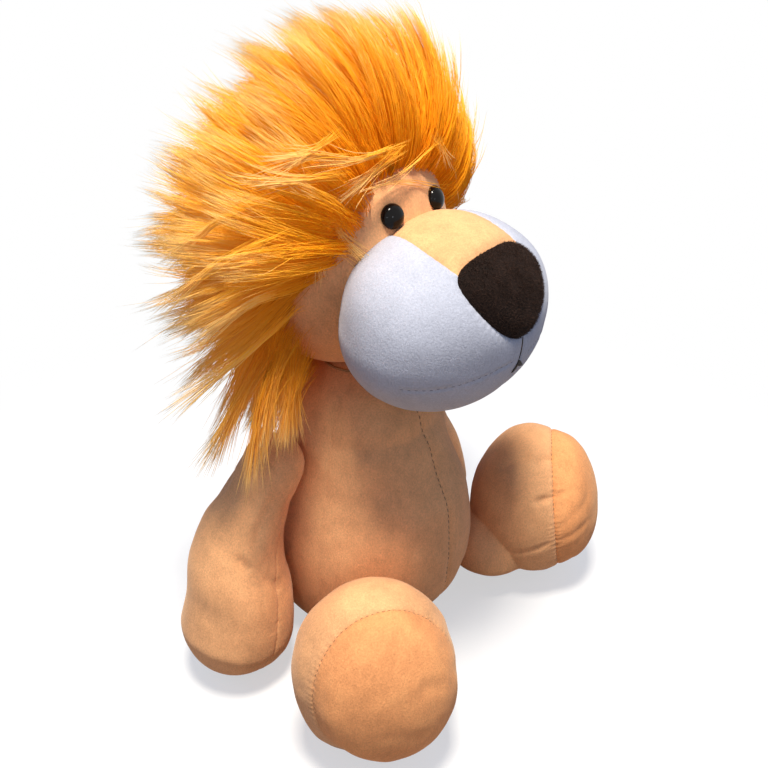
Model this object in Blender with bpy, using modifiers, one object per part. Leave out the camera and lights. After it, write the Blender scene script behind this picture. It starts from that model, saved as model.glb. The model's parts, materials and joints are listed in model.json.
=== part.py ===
"""A seated plush lion: sewn covers over stuffing, plastic eyes and a long-pile mane.

Run with blender --background --python part.py, or from Blender's text editor.
Metres, +Z up. The lion faces -Y and its own right side is at -X. The origin is on
the flat of the seat, under the middle of the torso, on the surface it sits on.
"""
import math

import bmesh
import bpy
from mathutils import Matrix, Vector

MM = 0.001

# Fabric and sewing
FABRIC = 1.5 * MM
CLEARANCE = 0.3 * MM
FILLING_GAP = 0.5 * MM
SEAM_GAP = 0.8 * MM
THREAD = 0.7 * MM
NECK_THREAD = 1.0 * MM
OVERRUN = 20 * MM
MERGE_DISTANCE = 0.01 * MM

# Torso
TORSO_HALF_WIDTH = 44 * MM
TORSO_HALF_DEPTH = 53 * MM
NECK_HEIGHT = 118 * MM
NECK_DOME_RADIUS = 33 * MM
SIDE_SEAM_FORWARD = 10 * MM
PELLET_BAG_HEIGHT = 16 * MM

# Head and muzzle
HEAD_RISE = 83 * MM
HEAD_SETBACK = 10 * MM
HEAD_HALF_WIDTH = 48 * MM
HEAD_HALF_DEPTH = 46 * MM
HEAD_HALF_HEIGHT = 56 * MM
MUZZLE_REACH = 56.5 * MM
MUZZLE_DROP = 20 * MM
MUZZLE_HALF_WIDTH = 49.5 * MM
MUZZLE_HALF_DEPTH = 36.5 * MM
MUZZLE_HALF_HEIGHT = 35.5 * MM
MUZZLE_TILT = math.radians(10)
NOSE_HALF_WIDTH = 20 * MM
NOSE_HEIGHT = 29 * MM
NOSE_RISE = 17 * MM
BRIDGE_HALF_WIDTH = 20 * MM
MOUTH_DROP = 11 * MM
MOUTH_HALF_WIDTH = 4.5 * MM

# Plastic eyes
EYE_RADIUS = 5 * MM
EYE_DOME = 3.5 * MM
EYE_SPACING = 28 * MM
EYE_RISE = 21.5 * MM
SHANK_RADIUS = 1.8 * MM
SHANK_LENGTH = 10 * MM
WASHER_RADIUS = 6 * MM
WASHER_THICKNESS = 1.5 * MM

# Mane
MANE_HALF_WIDTH = 78 * MM
MANE_HALF_DEPTH = 49.5 * MM
MANE_HALF_HEIGHT = 77 * MM
MANE_RISE = 4 * MM
MANE_SETBACK = 1 * MM
MANE_LOW_EDGE = 13 * MM
MANE_NECK_OPENING = 46 * MM
MANE_FRONT_LEAN = math.radians(25)
MANE_FRONT_SETBACK = 16 * MM
MANE_LOCK_SPREAD = 57 * MM
MANE_LOCK_SETBACK = 2 * MM
MANE_LOCK_RISE = 38 * MM
MANE_LOCK_HALF_WIDTH = 15 * MM
MANE_LOCK_HALF_DEPTH = 19 * MM
MANE_LOCK_HALF_HEIGHT = 24 * MM

# Arms
SHOULDER_HEIGHT = 108 * MM
SHOULDER_AZIMUTH = math.radians(13)
UPPER_ARM_RADIUS = 13 * MM
PAW_RADIUS = 26 * MM
ARM_SPREAD = 27 * MM
ARM_TRAIL = 9 * MM

# Legs and feet
HIP_HEIGHT = 23 * MM
HIP_AZIMUTH = math.radians(42)
HIP_RADIUS = 21 * MM
RIGHT_FOOT_SPREAD = 17 * MM
RIGHT_FOOT_REACH = 19 * MM
LEFT_FOOT_SPREAD = 25 * MM
LEFT_FOOT_REACH = 13 * MM
FOOT_HALF_WIDTH = 34.5 * MM
FOOT_HALF_LENGTH = 34 * MM
FOOT_HALF_HEIGHT = 43 * MM
FOOT_YAW = math.radians(30)
SOLE_TILT = math.radians(8)
SOLE_SETBACK = 12 * MM

# Tail
TAIL_ROOT_HEIGHT = 13 * MM
TAIL_AZIMUTH = math.radians(8)
TAIL_RADIUS = 4.5 * MM
TAIL_BEND_RADIUS = 42 * MM
TAIL_SWEEP = math.radians(75)
TUFT_RADIUS = 10 * MM
TUFT_LENGTH = 34 * MM

# Counts of the faceted forms
TORSO_STEPS = 20
HEAD_STEPS = 18
HEAD_RINGS = 11
MUZZLE_STEPS = 20
MUZZLE_RINGS = 11
MANE_STEPS = 28
MANE_RINGS = 16
MANE_LOCK_STEPS = 16
MANE_LOCK_RINGS = 10
ARM_STEPS = 12
LEG_STEPS = 14
LEG_RINGS = 11
LEG_RING_CROWDING = 1.6
DOME_RINGS = 4
ARM_CAP_RINGS = 3
EYE_STEPS = 16
RING_STEPS = 20
RING_SIDES = 6
TAIL_STEPS = 10
TAIL_RINGS = 9

# Torso sections from the seat to the neck, in shares of the neck's height, of the
# half width, of the half depth and, for how far the section leans back, of the half depth
TORSO_SECTION_SHARES = (
    (0.00, 0.66, 0.62, 0.08),
    (0.035, 0.83, 0.79, 0.07),
    (0.12, 0.95, 0.91, 0.05),
    (0.26, 1.00, 0.98, 0.03),
    (0.44, 0.99, 1.00, 0.00),
    (0.60, 0.93, 0.98, -0.04),
    (0.75, 0.86, 0.93, -0.06),
    (0.88, 0.81, 0.82, -0.04),
)
# Arm radii between the shoulder and the paw's centre, in shares of the way down and of
# the growth from the upper arm's radius to the paw's
ARM_SWELL_SHARES = ((0.2, 0.18), (0.45, 0.54), (0.72, 0.90), (1.0, 1.0))
# Bridge panel seen from above, in shares of the muzzle's half depth forward of its
# centre and of the bridge's half width
BRIDGE_OUTLINE_SHARES = ((-0.72, 0.42), (-0.30, 0.78), (0.10, 1.0), (0.56, 0.90))
# Nose panel seen from the front, in shares of the nose's half width and of its height
# below its top edge
NOSE_OUTLINE_SHARES = ((0.0, 0.0), (0.58, 0.03), (1.0, 0.28), (0.78, 0.60), (0.34, 0.92), (0.0, 1.0))
# Tuft radii along its length, in shares of the length and of the growth from the tail's
# radius to the tuft's
TUFT_SHARES = ((0.0, 0.0), (0.2, 0.6), (0.45, 1.0), (0.7, 0.75), (0.88, 0.2))
# Radius of the ring of stitches that holds a limb, in shares of the limb's round end
STITCHING_SHARE = 0.3
# How full the mane's outline is between an ellipsoid, 2, and a box
MANE_FULLNESS = 2.15
# How much narrower the mane is at its top, and how far its top leans forward
MANE_TAPER_SHARE = 0.03
MANE_LEAN_SHARE = 0.06

SIDES = (("right", -1), ("left", 1))
FOOT_PLACES = {"right": (RIGHT_FOOT_SPREAD, RIGHT_FOOT_REACH), "left": (LEFT_FOOT_SPREAD, LEFT_FOOT_REACH)}

TAN = (0.83, 0.47, 0.21, 1)
WHITE = (0.86, 0.85, 0.88, 1)
BROWN = (0.025, 0.010, 0.007, 1)
ORANGE = (0.90, 0.38, 0.04, 1)
BLACK = (0.005, 0.004, 0.004, 1)
FILL = (0.85, 0.85, 0.83, 1)
PELLETS = (0.55, 0.60, 0.66, 1)
THREADS = (0.55, 0.30, 0.12, 1)

UP = Vector((0, 0, 1))


def clear_scene():
    """Removes the objects that the scene starts with."""
    for obj in list(bpy.data.objects):
        bpy.data.objects.remove(obj, do_unlink=True)


def new_collection(name):
    """Adds a collection to the scene."""
    collection = bpy.data.collections.new(name)
    bpy.context.scene.collection.children.link(collection)
    return collection


def new_material(name, colour, roughness):
    """Makes a plain Principled material."""
    material = bpy.data.materials.new(name)
    material.use_nodes = True
    shader = material.node_tree.nodes["Principled BSDF"]
    shader.inputs["Base Color"].default_value = colour
    shader.inputs["Roughness"].default_value = roughness
    shader.inputs["Metallic"].default_value = 0
    material.diffuse_color = colour
    return material


def new_empty(name, place):
    """Adds the empty that a body's parts hang on, at the body's joint."""
    empty = bpy.data.objects.new(name, None)
    PARTS.objects.link(empty)
    empty.location = place
    return empty


def new_part(name, bm, finish, body):
    """Turns a bmesh in world coordinates into a part that rides on a body's empty.

    The finish is a colour and a roughness.
    """
    bmesh.ops.recalc_face_normals(bm, faces=bm.faces)
    mesh = bpy.data.meshes.new(name)
    bm.transform(Matrix.Translation(-body.location))
    bm.to_mesh(mesh)
    bm.free()
    obj = bpy.data.objects.new(name, mesh)
    PARTS.objects.link(obj)
    obj.parent = body
    mesh.materials.append(new_material(name, *finish))
    mesh.shade_smooth()
    return obj


def new_cutter(name, bm):
    """Keeps a bmesh in world coordinates as a cutter."""
    bmesh.ops.recalc_face_normals(bm, faces=bm.faces)
    mesh = bpy.data.meshes.new(name)
    bm.to_mesh(mesh)
    bm.free()
    obj = bpy.data.objects.new(name, mesh)
    CUTTERS.objects.link(obj)
    obj.hide_render = True
    obj.display_type = "WIRE"
    return obj


def boolean(obj, cutter, operation):
    """Adds an exact Boolean modifier."""
    modifier = obj.modifiers.new(cutter.name, "BOOLEAN")
    modifier.operation = operation
    modifier.solver = "EXACT"
    modifier.object = cutter


def solidify(obj, thickness):
    """Gives an open surface its fabric thickness, inwards."""
    modifier = obj.modifiers.new("fabric", "SOLIDIFY")
    modifier.thickness = thickness
    modifier.offset = -1
    modifier.use_even_offset = True


def ellipsoid(centre, radii, turn, steps, rings):
    """Makes an ellipsoid from a unit sphere."""
    bm = bmesh.new()
    bmesh.ops.create_uvsphere(bm, u_segments=steps, v_segments=rings, radius=1)
    bm.transform(Matrix.Translation(centre) @ turn.to_4x4() @ Matrix.Diagonal(radii).to_4x4())
    return bm


def loft(sections, start, end):
    """Skins a row of rings and closes it with a point or, where there is none, a flat face.

    Each section is a centre, two half axes and a count of steps round it.
    """
    bm = bmesh.new()
    rows = []
    for centre, first, second, steps in sections:
        turns = [math.tau * step / steps for step in range(steps)]
        rows.append([bm.verts.new(centre + first * math.cos(a) + second * math.sin(a)) for a in turns])
    for low, high in zip(rows, rows[1:]):
        for k in range(len(low)):
            after = (k + 1) % len(low)
            bm.faces.new((low[k], low[after], high[after], high[k]))
    for point, row in ((start, rows[0]), (end, rows[-1])):
        if point is None:
            bm.faces.new(row)
            continue
        tip = bm.verts.new(point)
        for k in range(len(row)):
            bm.faces.new((row[k], row[(k + 1) % len(row)], tip))
    bmesh.ops.recalc_face_normals(bm, faces=bm.faces)
    return bm


def shrink(form, inset):
    """Copies a closed form and moves its skin inwards by an even distance."""
    bm = form.copy()
    bm.normal_update()
    moves = [(v, v.normal * inset * v.calc_shell_factor()) for v in bm.verts]
    for vert, move in moves:
        vert.co -= move
    return bm


def keep_behind(bm, point, normal, fill):
    """Cuts away what lies on the normal's side of a plane, and fills the cut if asked."""
    geometry = bm.verts[:] + bm.edges[:] + bm.faces[:]
    cut = bmesh.ops.bisect_plane(bm, geom=geometry, plane_co=point, plane_no=normal, clear_outer=True)
    if fill:
        rim = [e for e in cut["geom_cut"] if isinstance(e, bmesh.types.BMEdge)]
        bmesh.ops.edgeloop_fill(bm, edges=rim)
    return bm


def panel(name, form, cuts, finish, body):
    """Makes a fabric panel from the stretch of a form that its seams leave."""
    bm = form.copy()
    for point, normal in cuts:
        keep_behind(bm, point - normal * SEAM_GAP / 2, normal, fill=False)
    obj = new_part(name, bm, finish, body)
    solidify(obj, FABRIC)
    return obj


def prism(name, outline, push):
    """Keeps a flat outline pushed along a direction as a cutter."""
    bm = bmesh.new()
    face = bm.faces.new([bm.verts.new(point) for point in outline])
    moved = bmesh.ops.extrude_face_region(bm, geom=[face])["geom"]
    for item in moved:
        if isinstance(item, bmesh.types.BMVert):
            item.co += push
    return new_cutter(name, bm)


def turned(name, profile, place, axis, steps, finish, body):
    """Turns a profile of (radius, height) pairs about an axis through a place.

    A profile that starts off the axis is a ring's section, so its ends are joined.
    """
    turn = axis.to_track_quat("Z", "Y").to_matrix().to_4x4()
    mesh = bpy.data.meshes.new(name)
    points = [Vector((radius, 0, height)) for radius, height in profile]
    edges = [(k, k + 1) for k in range(len(points) - 1)]
    if points[0].x > 0:
        edges.append((len(points) - 1, 0))
    mesh.from_pydata(points, edges, [])
    obj = bpy.data.objects.new(name, mesh)
    PARTS.objects.link(obj)
    obj.matrix_world = Matrix.Translation(place - body.location) @ turn
    obj.parent = body
    screw = obj.modifiers.new("turn", "SCREW")
    screw.steps = steps
    screw.render_steps = steps
    screw.use_merge_vertices = True
    screw.merge_threshold = MERGE_DISTANCE
    screw.use_smooth_shade = True
    mesh.materials.append(new_material(name, *finish))
    return obj


def thread_ring(name, centre, axis, radius, thickness, finish, body):
    """Makes a closed loop of thread about an axis."""
    turns = [math.tau * step / RING_SIDES for step in range(RING_SIDES)]
    half = thickness / 2
    profile = [(radius + half * math.cos(a), -half * math.sin(a)) for a in turns]
    turned(name, profile, centre, axis, RING_STEPS, finish, body)


def joint_stitching(name, pivot, inward, ball_radius, finish, body):
    """Makes the thread ring between a limb's round end and what it is sewn to.

    The ring keeps one distance from the pivot, so it clears both while the limb moves.
    """
    reach = ball_radius + CLEARANCE + THREAD / 2
    ring_radius = reach * STITCHING_SHARE
    depth = math.sqrt(reach ** 2 - ring_radius ** 2)
    thread_ring(name, pivot + inward * depth, inward, ring_radius, THREAD, finish, body)


def section_at(height):
    """Gives the torso's half width, half depth, lean and taper at a height."""
    rows = [(h * NECK_HEIGHT, w * TORSO_HALF_WIDTH, d * TORSO_HALF_DEPTH, lean * TORSO_HALF_DEPTH)
            for h, w, d, lean in TORSO_SECTION_SHARES]
    rows.append((NECK_HEIGHT, NECK_DOME_RADIUS, NECK_DOME_RADIUS, 0))
    for low, high in zip(rows, rows[1:]):
        if height <= high[0]:
            part = (height - low[0]) / (high[0] - low[0])
            wide, deep, lean = (low[k] + (high[k] - low[k]) * part for k in (1, 2, 3))
            taper = math.atan2(abs(low[1] - high[1]), high[0] - low[0])
            return wide, deep, lean, taper
    return rows[-1][1:] + (0,)


def torso_seat(height, direction, ball_radius, space):
    """Places a limb's round end against the torso, with a space for its stitches.

    Returns the end's centre and the direction from there to the torso.
    """
    wide, deep, lean, taper = section_at(height)
    contact = Vector((direction.x * wide, direction.y * deep, 0))
    outward = Vector((contact.x / wide ** 2, contact.y / deep ** 2, 0)).normalized()
    stand_off = (ball_radius + space) / math.cos(taper)
    return Vector((0, lean, height)) + contact + outward * stand_off, -outward


def torso_form():
    """The torso: a pear on a flat seat with a round top for the head to turn on."""
    sections = []
    for height_share, *_ in TORSO_SECTION_SHARES:
        height = height_share * NECK_HEIGHT
        wide, deep, lean, _ = section_at(height)
        sections.append((Vector((0, lean, height)), Vector((wide, 0, 0)), Vector((0, deep, 0)), TORSO_STEPS))
    for k in range(DOME_RINGS):
        rise = math.pi / 2 * k / DOME_RINGS
        radius = NECK_DOME_RADIUS * math.cos(rise)
        centre = NECK + UP * NECK_DOME_RADIUS * math.sin(rise)
        sections.append((centre, Vector((radius, 0, 0)), Vector((0, radius, 0)), TORSO_STEPS))
    return loft(sections, None, NECK + UP * NECK_DOME_RADIUS)


def build_torso(body):
    """The torso's three panels, its stuffing and the pellet bag in its seat."""
    form = torso_form()
    side_seam = Vector((0, -SIDE_SEAM_FORWARD, 0))
    forward = Vector((0, -1, 0))
    for side, sign in SIDES:
        cuts = [(Vector(), Vector((-sign, 0, 0))), (side_seam, -forward)]
        panel("torso_front_" + side, form, cuts, (TAN, 0.9), body)
    panel("torso_back", form, [(side_seam, forward)], (TAN, 0.9), body)
    inside = shrink(form, FABRIC + FILLING_GAP)
    bag_top = UP * PELLET_BAG_HEIGHT
    bag = keep_behind(inside.copy(), bag_top, UP, fill=True)
    new_part("seat_pellet_bag", bag, (PELLETS, 0.6), body)
    stuffing = keep_behind(inside, bag_top + UP * CLEARANCE, -UP, fill=True)
    new_part("torso_stuffing", stuffing, (FILL, 1.0), body)
    form.free()


def build_neck_stitching(body):
    """The gathering thread in the seam between the torso and the head."""
    reach = NECK_DOME_RADIUS + CLEARANCE + NECK_THREAD / 2
    ring_radius = reach / 2
    centre = NECK + UP * math.sqrt(reach ** 2 - ring_radius ** 2)
    thread_ring("neck_stitching", centre, UP, ring_radius, NECK_THREAD, (THREADS, 0.7), body)


def head_dish():
    """The hollow under the head that turns on the torso's round top."""
    radius = NECK_DOME_RADIUS + CLEARANCE + NECK_THREAD + CLEARANCE
    turn = Matrix.Identity(3)
    return new_cutter("head_dish", ellipsoid(NECK, Vector((radius,) * 3), turn, HEAD_STEPS * 2, HEAD_RINGS * 2))


def build_head(body):
    """The face and the back of the head over their stuffing."""
    turn = Matrix.Identity(3)
    form = ellipsoid(HEAD, HEAD_RADII, turn, HEAD_STEPS, HEAD_RINGS)
    dish = head_dish()
    face = panel("face_cover", form, [(MANE_SEAM, MANE_BACKWARD)], (TAN, 0.9), body)
    back = panel("head_back_cover", form, [(MANE_SEAM, -MANE_BACKWARD)], (TAN, 0.9), body)
    stuffing = new_part("head_stuffing", shrink(form, FABRIC + FILLING_GAP), (FILL, 1.0), body)
    for obj in (face, back, stuffing):
        boolean(obj, dish, "DIFFERENCE")
    form.free()
    build_eyes(body, face, stuffing)


def build_eyes(body, face, stuffing):
    """Two domed eyes on shanks through the face, each with its locking washer."""
    for side, sign in SIDES:
        across = sign * EYE_SPACING / 2
        flat = 1 - (across / HEAD_HALF_WIDTH) ** 2 - (EYE_RISE / HEAD_HALF_HEIGHT) ** 2
        offset = Vector((across, -HEAD_HALF_DEPTH * math.sqrt(flat), EYE_RISE))
        outward = Vector((offset[k] / HEAD_RADII[k] ** 2 for k in range(3))).normalized()
        seat = HEAD + offset + outward * CLEARANCE
        arcs = [math.pi / 2 * k / DOME_RINGS for k in range(DOME_RINGS)]
        profile = [(0, EYE_DOME)]
        profile += [(EYE_RADIUS * math.cos(a), EYE_DOME * math.sin(a)) for a in reversed(arcs)]
        profile += [(SHANK_RADIUS, 0), (SHANK_RADIUS, -SHANK_LENGTH), (0, -SHANK_LENGTH)]
        turned(side + "_eye", profile, seat, outward, EYE_STEPS, (BLACK, 0.08), body)
        hole = SHANK_RADIUS + CLEARANCE
        sag = WASHER_RADIUS ** 2 / HEAD_HALF_DEPTH / 2
        facet_sag = HEAD_HALF_DEPTH * (1 - math.cos(math.pi / HEAD_STEPS))
        top = -(FABRIC + CLEARANCE * 2 + sag + facet_sag)
        low = top - WASHER_THICKNESS
        ring = [(hole, top), (WASHER_RADIUS, top), (WASHER_RADIUS, low), (hole, low)]
        turned(side + "_eye_washer", ring, seat, outward, EYE_STEPS, (FILL, 0.4), body)
        drill = eye_cutter(side + "_eye_hole", seat, outward, hole, SHANK_LENGTH + CLEARANCE, OVERRUN)
        room = WASHER_RADIUS + CLEARANCE
        pocket = eye_cutter(side + "_washer_pocket", seat, outward, room, CLEARANCE - low, OVERRUN)
        boolean(face, drill, "DIFFERENCE")
        boolean(stuffing, drill, "DIFFERENCE")
        boolean(stuffing, pocket, "DIFFERENCE")


def eye_cutter(name, seat, outward, radius, depth, height):
    """A round cutter along an eye's axis."""
    turn = outward.to_track_quat("Z", "Y").to_matrix().to_4x4()
    bm = bmesh.new()
    bmesh.ops.create_cone(bm, cap_ends=True, segments=EYE_STEPS, radius1=radius, radius2=radius,
                          depth=depth + height)
    middle = seat + outward * (height - depth) / 2
    bm.transform(Matrix.Translation(middle) @ turn)
    return new_cutter(name, bm)


def nose_outline(grow):
    """The nose panel's outline in front of the muzzle, grown by a seam allowance."""
    half = [(share_x * NOSE_HALF_WIDTH, -share_z * NOSE_HEIGHT) for share_x, share_z in NOSE_OUTLINE_SHARES]
    middle = -NOSE_HEIGHT / 2
    points = half + [(-x, z) for x, z in reversed(half[1:-1])]
    outline = []
    for x, z in points:
        away = Vector((x, z - middle)).normalized() * grow
        outline.append(Vector((x + away.x, 0, z + away.y)))
    top = MUZZLE + Vector((0, -MUZZLE_HALF_DEPTH - OVERRUN, MUZZLE_TOP_OF_NOSE))
    return [top + point for point in outline]


def bridge_outline(grow):
    """The bridge panel's outline above the muzzle, grown by a seam allowance."""
    rows = [(forward * MUZZLE_HALF_DEPTH, wide * BRIDGE_HALF_WIDTH + grow)
            for forward, wide in BRIDGE_OUTLINE_SHARES]
    rows[0] = (rows[0][0] - grow, rows[0][1])
    level = MUZZLE + UP * MUZZLE_HALF_HEIGHT / 4
    right = [level + Vector((-wide, -forward, 0)) for forward, wide in rows]
    left = [level + Vector((wide, -forward, 0)) for forward, wide in reversed(rows)]
    return right + left


def build_muzzle(body):
    """White side panels, tan bridge, brown nose and stitched mouth over the muzzle's stuffing."""
    turn = Matrix.Rotation(MUZZLE_TILT, 3, "X")
    radii = Vector((MUZZLE_HALF_WIDTH, MUZZLE_HALF_DEPTH, MUZZLE_HALF_HEIGHT))
    form = ellipsoid(MUZZLE, radii, turn, MUZZLE_STEPS, MUZZLE_RINGS)
    room = HEAD_RADII + Vector((CLEARANCE,) * 3)
    skull = new_cutter("face_room", ellipsoid(HEAD, room, Matrix.Identity(3), HEAD_STEPS, HEAD_RINGS))
    back = Vector((0, MUZZLE_HALF_DEPTH * 2 + OVERRUN, 0))
    rise = UP * (MUZZLE_HALF_HEIGHT + OVERRUN)
    nose_inner = prism("nose_outline", nose_outline(-SEAM_GAP / 2), back / 2)
    nose_outer = prism("nose_opening", nose_outline(SEAM_GAP / 2), back / 2)
    bridge_inner = prism("bridge_outline", bridge_outline(-SEAM_GAP / 2), rise)
    bridge_outer = prism("bridge_opening", bridge_outline(SEAM_GAP / 2), rise)
    for side, sign in SIDES:
        white = panel(side + "_muzzle_panel", form, [(MUZZLE, Vector((-sign, 0, 0)))], (WHITE, 0.9), body)
        for cutter in (nose_outer, bridge_outer, skull):
            boolean(white, cutter, "DIFFERENCE")
    bridge = panel("bridge_panel", form, [(MUZZLE, -UP)], (TAN, 0.9), body)
    boolean(bridge, bridge_inner, "INTERSECT")
    boolean(bridge, nose_outer, "DIFFERENCE")
    boolean(bridge, skull, "DIFFERENCE")
    nose = panel("nose_panel", form, [(MUZZLE, Vector((0, 1, 0)))], (BROWN, 0.85), body)
    boolean(nose, nose_inner, "INTERSECT")
    stuffing = new_part("muzzle_stuffing", shrink(form, FABRIC + FILLING_GAP), (FILL, 1.0), body)
    boolean(stuffing, skull, "DIFFERENCE")
    form.free()
    build_mouth(body, turn, radii)


def muzzle_front(turn, radii, across, height, proud):
    """Gives the point on the muzzle's front at a place across and a height, raised by proud."""
    grown = radii + Vector((proud,) * 3)
    # The front is where the line along -Y through the place meets the grown ellipsoid
    back = turn.transposed()
    start = back @ Vector((across, 0, height))
    along = back @ Vector((0, -1, 0))
    a = sum((along[k] / grown[k]) ** 2 for k in range(3))
    b = 2 * sum(start[k] * along[k] / grown[k] ** 2 for k in range(3))
    c = sum((start[k] / grown[k]) ** 2 for k in range(3)) - 1
    reach = (-b + math.sqrt(b * b - 4 * a * c)) / (2 * a)
    return MUZZLE + Vector((across, -reach, height))


def build_mouth(body, turn, radii):
    """The thread that runs down from the nose and ends in the mouth's cross stitch."""
    proud = CLEARANCE + THREAD / 2
    top = MUZZLE_TOP_OF_NOSE - NOSE_HEIGHT - SEAM_GAP
    route = [(0, top - MOUTH_DROP * k / 4) for k in range(5)]
    route += [(MOUTH_HALF_WIDTH * k / 2, top - MOUTH_DROP - THREAD * k) for k in range(1, 3)]
    points = [muzzle_front(turn, radii, x, z, proud) for x, z in route]
    curve = bpy.data.curves.new("mouth_route", "CURVE")
    curve.dimensions = "3D"
    curve.bevel_depth = THREAD / 2
    curve.bevel_resolution = 1
    curve.use_fill_caps = True
    spline = curve.splines.new("POLY")
    spline.points.add(len(points) - 1)
    for spot, point in zip(spline.points, points):
        spot.co = (*point, 1)
    guide = bpy.data.objects.new("mouth_route", curve)
    CUTTERS.objects.link(guide)
    bpy.context.view_layer.update()
    mesh = bpy.data.meshes.new_from_object(guide.evaluated_get(bpy.context.evaluated_depsgraph_get()))
    bpy.data.objects.remove(guide, do_unlink=True)
    bm = bmesh.new()
    bm.from_mesh(mesh)
    bmesh.ops.remove_doubles(bm, verts=bm.verts, dist=CLEARANCE / 10)
    new_part("mouth_stitching", bm, (BROWN, 0.7), body)


def build_mane(body):
    """The mane: the closed space that its long pile fills round the head."""
    centre = HEAD + Vector((0, MANE_SETBACK, MANE_RISE))
    bm = bmesh.new()
    bmesh.ops.create_uvsphere(bm, u_segments=MANE_STEPS, v_segments=MANE_RINGS, radius=1)
    for vert in bm.verts:
        fullness = sum(abs(axis) ** MANE_FULLNESS for axis in vert.co) ** (1 / MANE_FULLNESS)
        unit = vert.co / fullness
        wide = MANE_HALF_WIDTH * (1 - MANE_TAPER_SHARE * unit.z)
        lean = MANE_HALF_DEPTH * MANE_LEAN_SHARE * unit.z
        vert.co = centre + Vector((unit.x * wide, unit.y * MANE_HALF_DEPTH - lean, unit.z * MANE_HALF_HEIGHT))
    front = MANE_SEAM + MANE_BACKWARD * SEAM_GAP
    keep_behind(bm, front, -MANE_BACKWARD, fill=True)
    keep_behind(bm, NECK + UP * MANE_LOW_EDGE, -UP, fill=True)
    mane = new_part("mane", bm, (ORANGE, 0.95), body)
    # A thick lock hangs beside each cheek, in front of the shoulder
    locks = []
    for side, sign in SIDES:
        middle = NECK + Vector((sign * MANE_LOCK_SPREAD, MANE_LOCK_SETBACK, MANE_LOCK_RISE))
        radii = Vector((MANE_LOCK_HALF_WIDTH, MANE_LOCK_HALF_DEPTH, MANE_LOCK_HALF_HEIGHT))
        lock = ellipsoid(middle, radii, Matrix.Identity(3), MANE_LOCK_STEPS, MANE_LOCK_RINGS)
        locks.append(new_cutter(side + "_mane_lock", lock))
    for lock in locks:
        boolean(mane, lock, "UNION")
    room = HEAD_RADII + Vector((CLEARANCE,) * 3)
    skull = new_cutter("mane_room", ellipsoid(HEAD, room, Matrix.Identity(3), HEAD_STEPS, HEAD_RINGS))
    tall = HEAD_RISE + OVERRUN
    neck = bmesh.new()
    bmesh.ops.create_cone(neck, cap_ends=True, segments=MANE_STEPS, radius1=MANE_NECK_OPENING,
                          radius2=MANE_NECK_OPENING, depth=tall)
    neck.transform(Matrix.Translation(NECK + UP * (MANE_LOW_EDGE - OVERRUN + tall / 2 - HEAD_HALF_HEIGHT)))
    opening = new_cutter("mane_neck_opening", neck)
    for cutter in (skull, opening):
        boolean(mane, cutter, "DIFFERENCE")


def build_arm(side, sign, bodies):
    """An arm: inner and outer panels over stuffing, with a round end at the shoulder."""
    pivot = SHOULDERS[side][0]
    paw = Vector((pivot.x + sign * ARM_SPREAD, pivot.y + ARM_TRAIL, PAW_RADIUS + CLEARANCE))
    along = (paw - pivot).normalized()
    across = Vector((sign, 0, 0))
    across = (across - along * across.dot(along)).normalized()
    depth = along.cross(across)
    length = (paw - pivot).length
    rings = []
    for k in range(1, ARM_CAP_RINGS + 1):
        rise = math.pi / 2 * k / ARM_CAP_RINGS
        rings.append((-UPPER_ARM_RADIUS * math.cos(rise), UPPER_ARM_RADIUS * math.sin(rise)))
    for way, growth in ARM_SWELL_SHARES:
        rings.append((way * length, UPPER_ARM_RADIUS + growth * (PAW_RADIUS - UPPER_ARM_RADIUS)))
    for k in range(1, ARM_CAP_RINGS):
        rise = math.pi / 2 * k / ARM_CAP_RINGS
        rings.append((length + PAW_RADIUS * math.sin(rise), PAW_RADIUS * math.cos(rise)))
    sections = [(pivot + along * way, across * radius, depth * radius, ARM_STEPS) for way, radius in rings]
    form = loft(sections, pivot - along * UPPER_ARM_RADIUS, paw + along * PAW_RADIUS)
    body = bodies[side + "_arm"]
    panel(side + "_arm_inner_cover", form, [(pivot, across)], (TAN, 0.9), body)
    panel(side + "_arm_outer_cover", form, [(pivot, -across)], (TAN, 0.9), body)
    new_part(side + "_arm_stuffing", shrink(form, FABRIC + FILLING_GAP), (FILL, 1.0), body)
    form.free()
    inward = SHOULDERS[side][1]
    stitches = bodies[side + "_shoulder_stitching"]
    joint_stitching(side + "_shoulder_stitching", pivot, inward, UPPER_ARM_RADIUS, (THREADS, 0.7), stitches)


def leg_form(pivot, foot, turn):
    """A big upright foot that narrows to a round end at the hip."""
    to_hip = pivot - foot
    reach = to_hip.length
    aim = to_hip.to_track_quat("Z", "Y").to_matrix()
    bm = bmesh.new()
    bmesh.ops.create_uvsphere(bm, u_segments=LEG_STEPS, v_segments=LEG_RINGS, radius=1)
    radii = (FOOT_HALF_WIDTH, FOOT_HALF_LENGTH, FOOT_HALF_HEIGHT)
    back = turn.transposed()
    for vert in bm.verts:
        # Rings are drawn towards the hip, where the form turns tightest
        turn_down = math.pi * (vert.co.angle(UP) / math.pi) ** LEG_RING_CROWDING
        heading = math.atan2(vert.co.y, vert.co.x)
        aside = math.sin(turn_down)
        spot = Vector((aside * math.cos(heading), aside * math.sin(heading), math.cos(turn_down)))
        outward = aim @ spot
        local = back @ outward
        radius = 1 / math.sqrt(sum((local[k] / radii[k]) ** 2 for k in range(3)))
        miss = reach * aside
        if spot.z > 0 and miss < HIP_RADIUS:
            radius = max(radius, reach * spot.z + math.sqrt(HIP_RADIUS ** 2 - miss ** 2))
        vert.co = foot + outward * radius
    return bm


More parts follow.
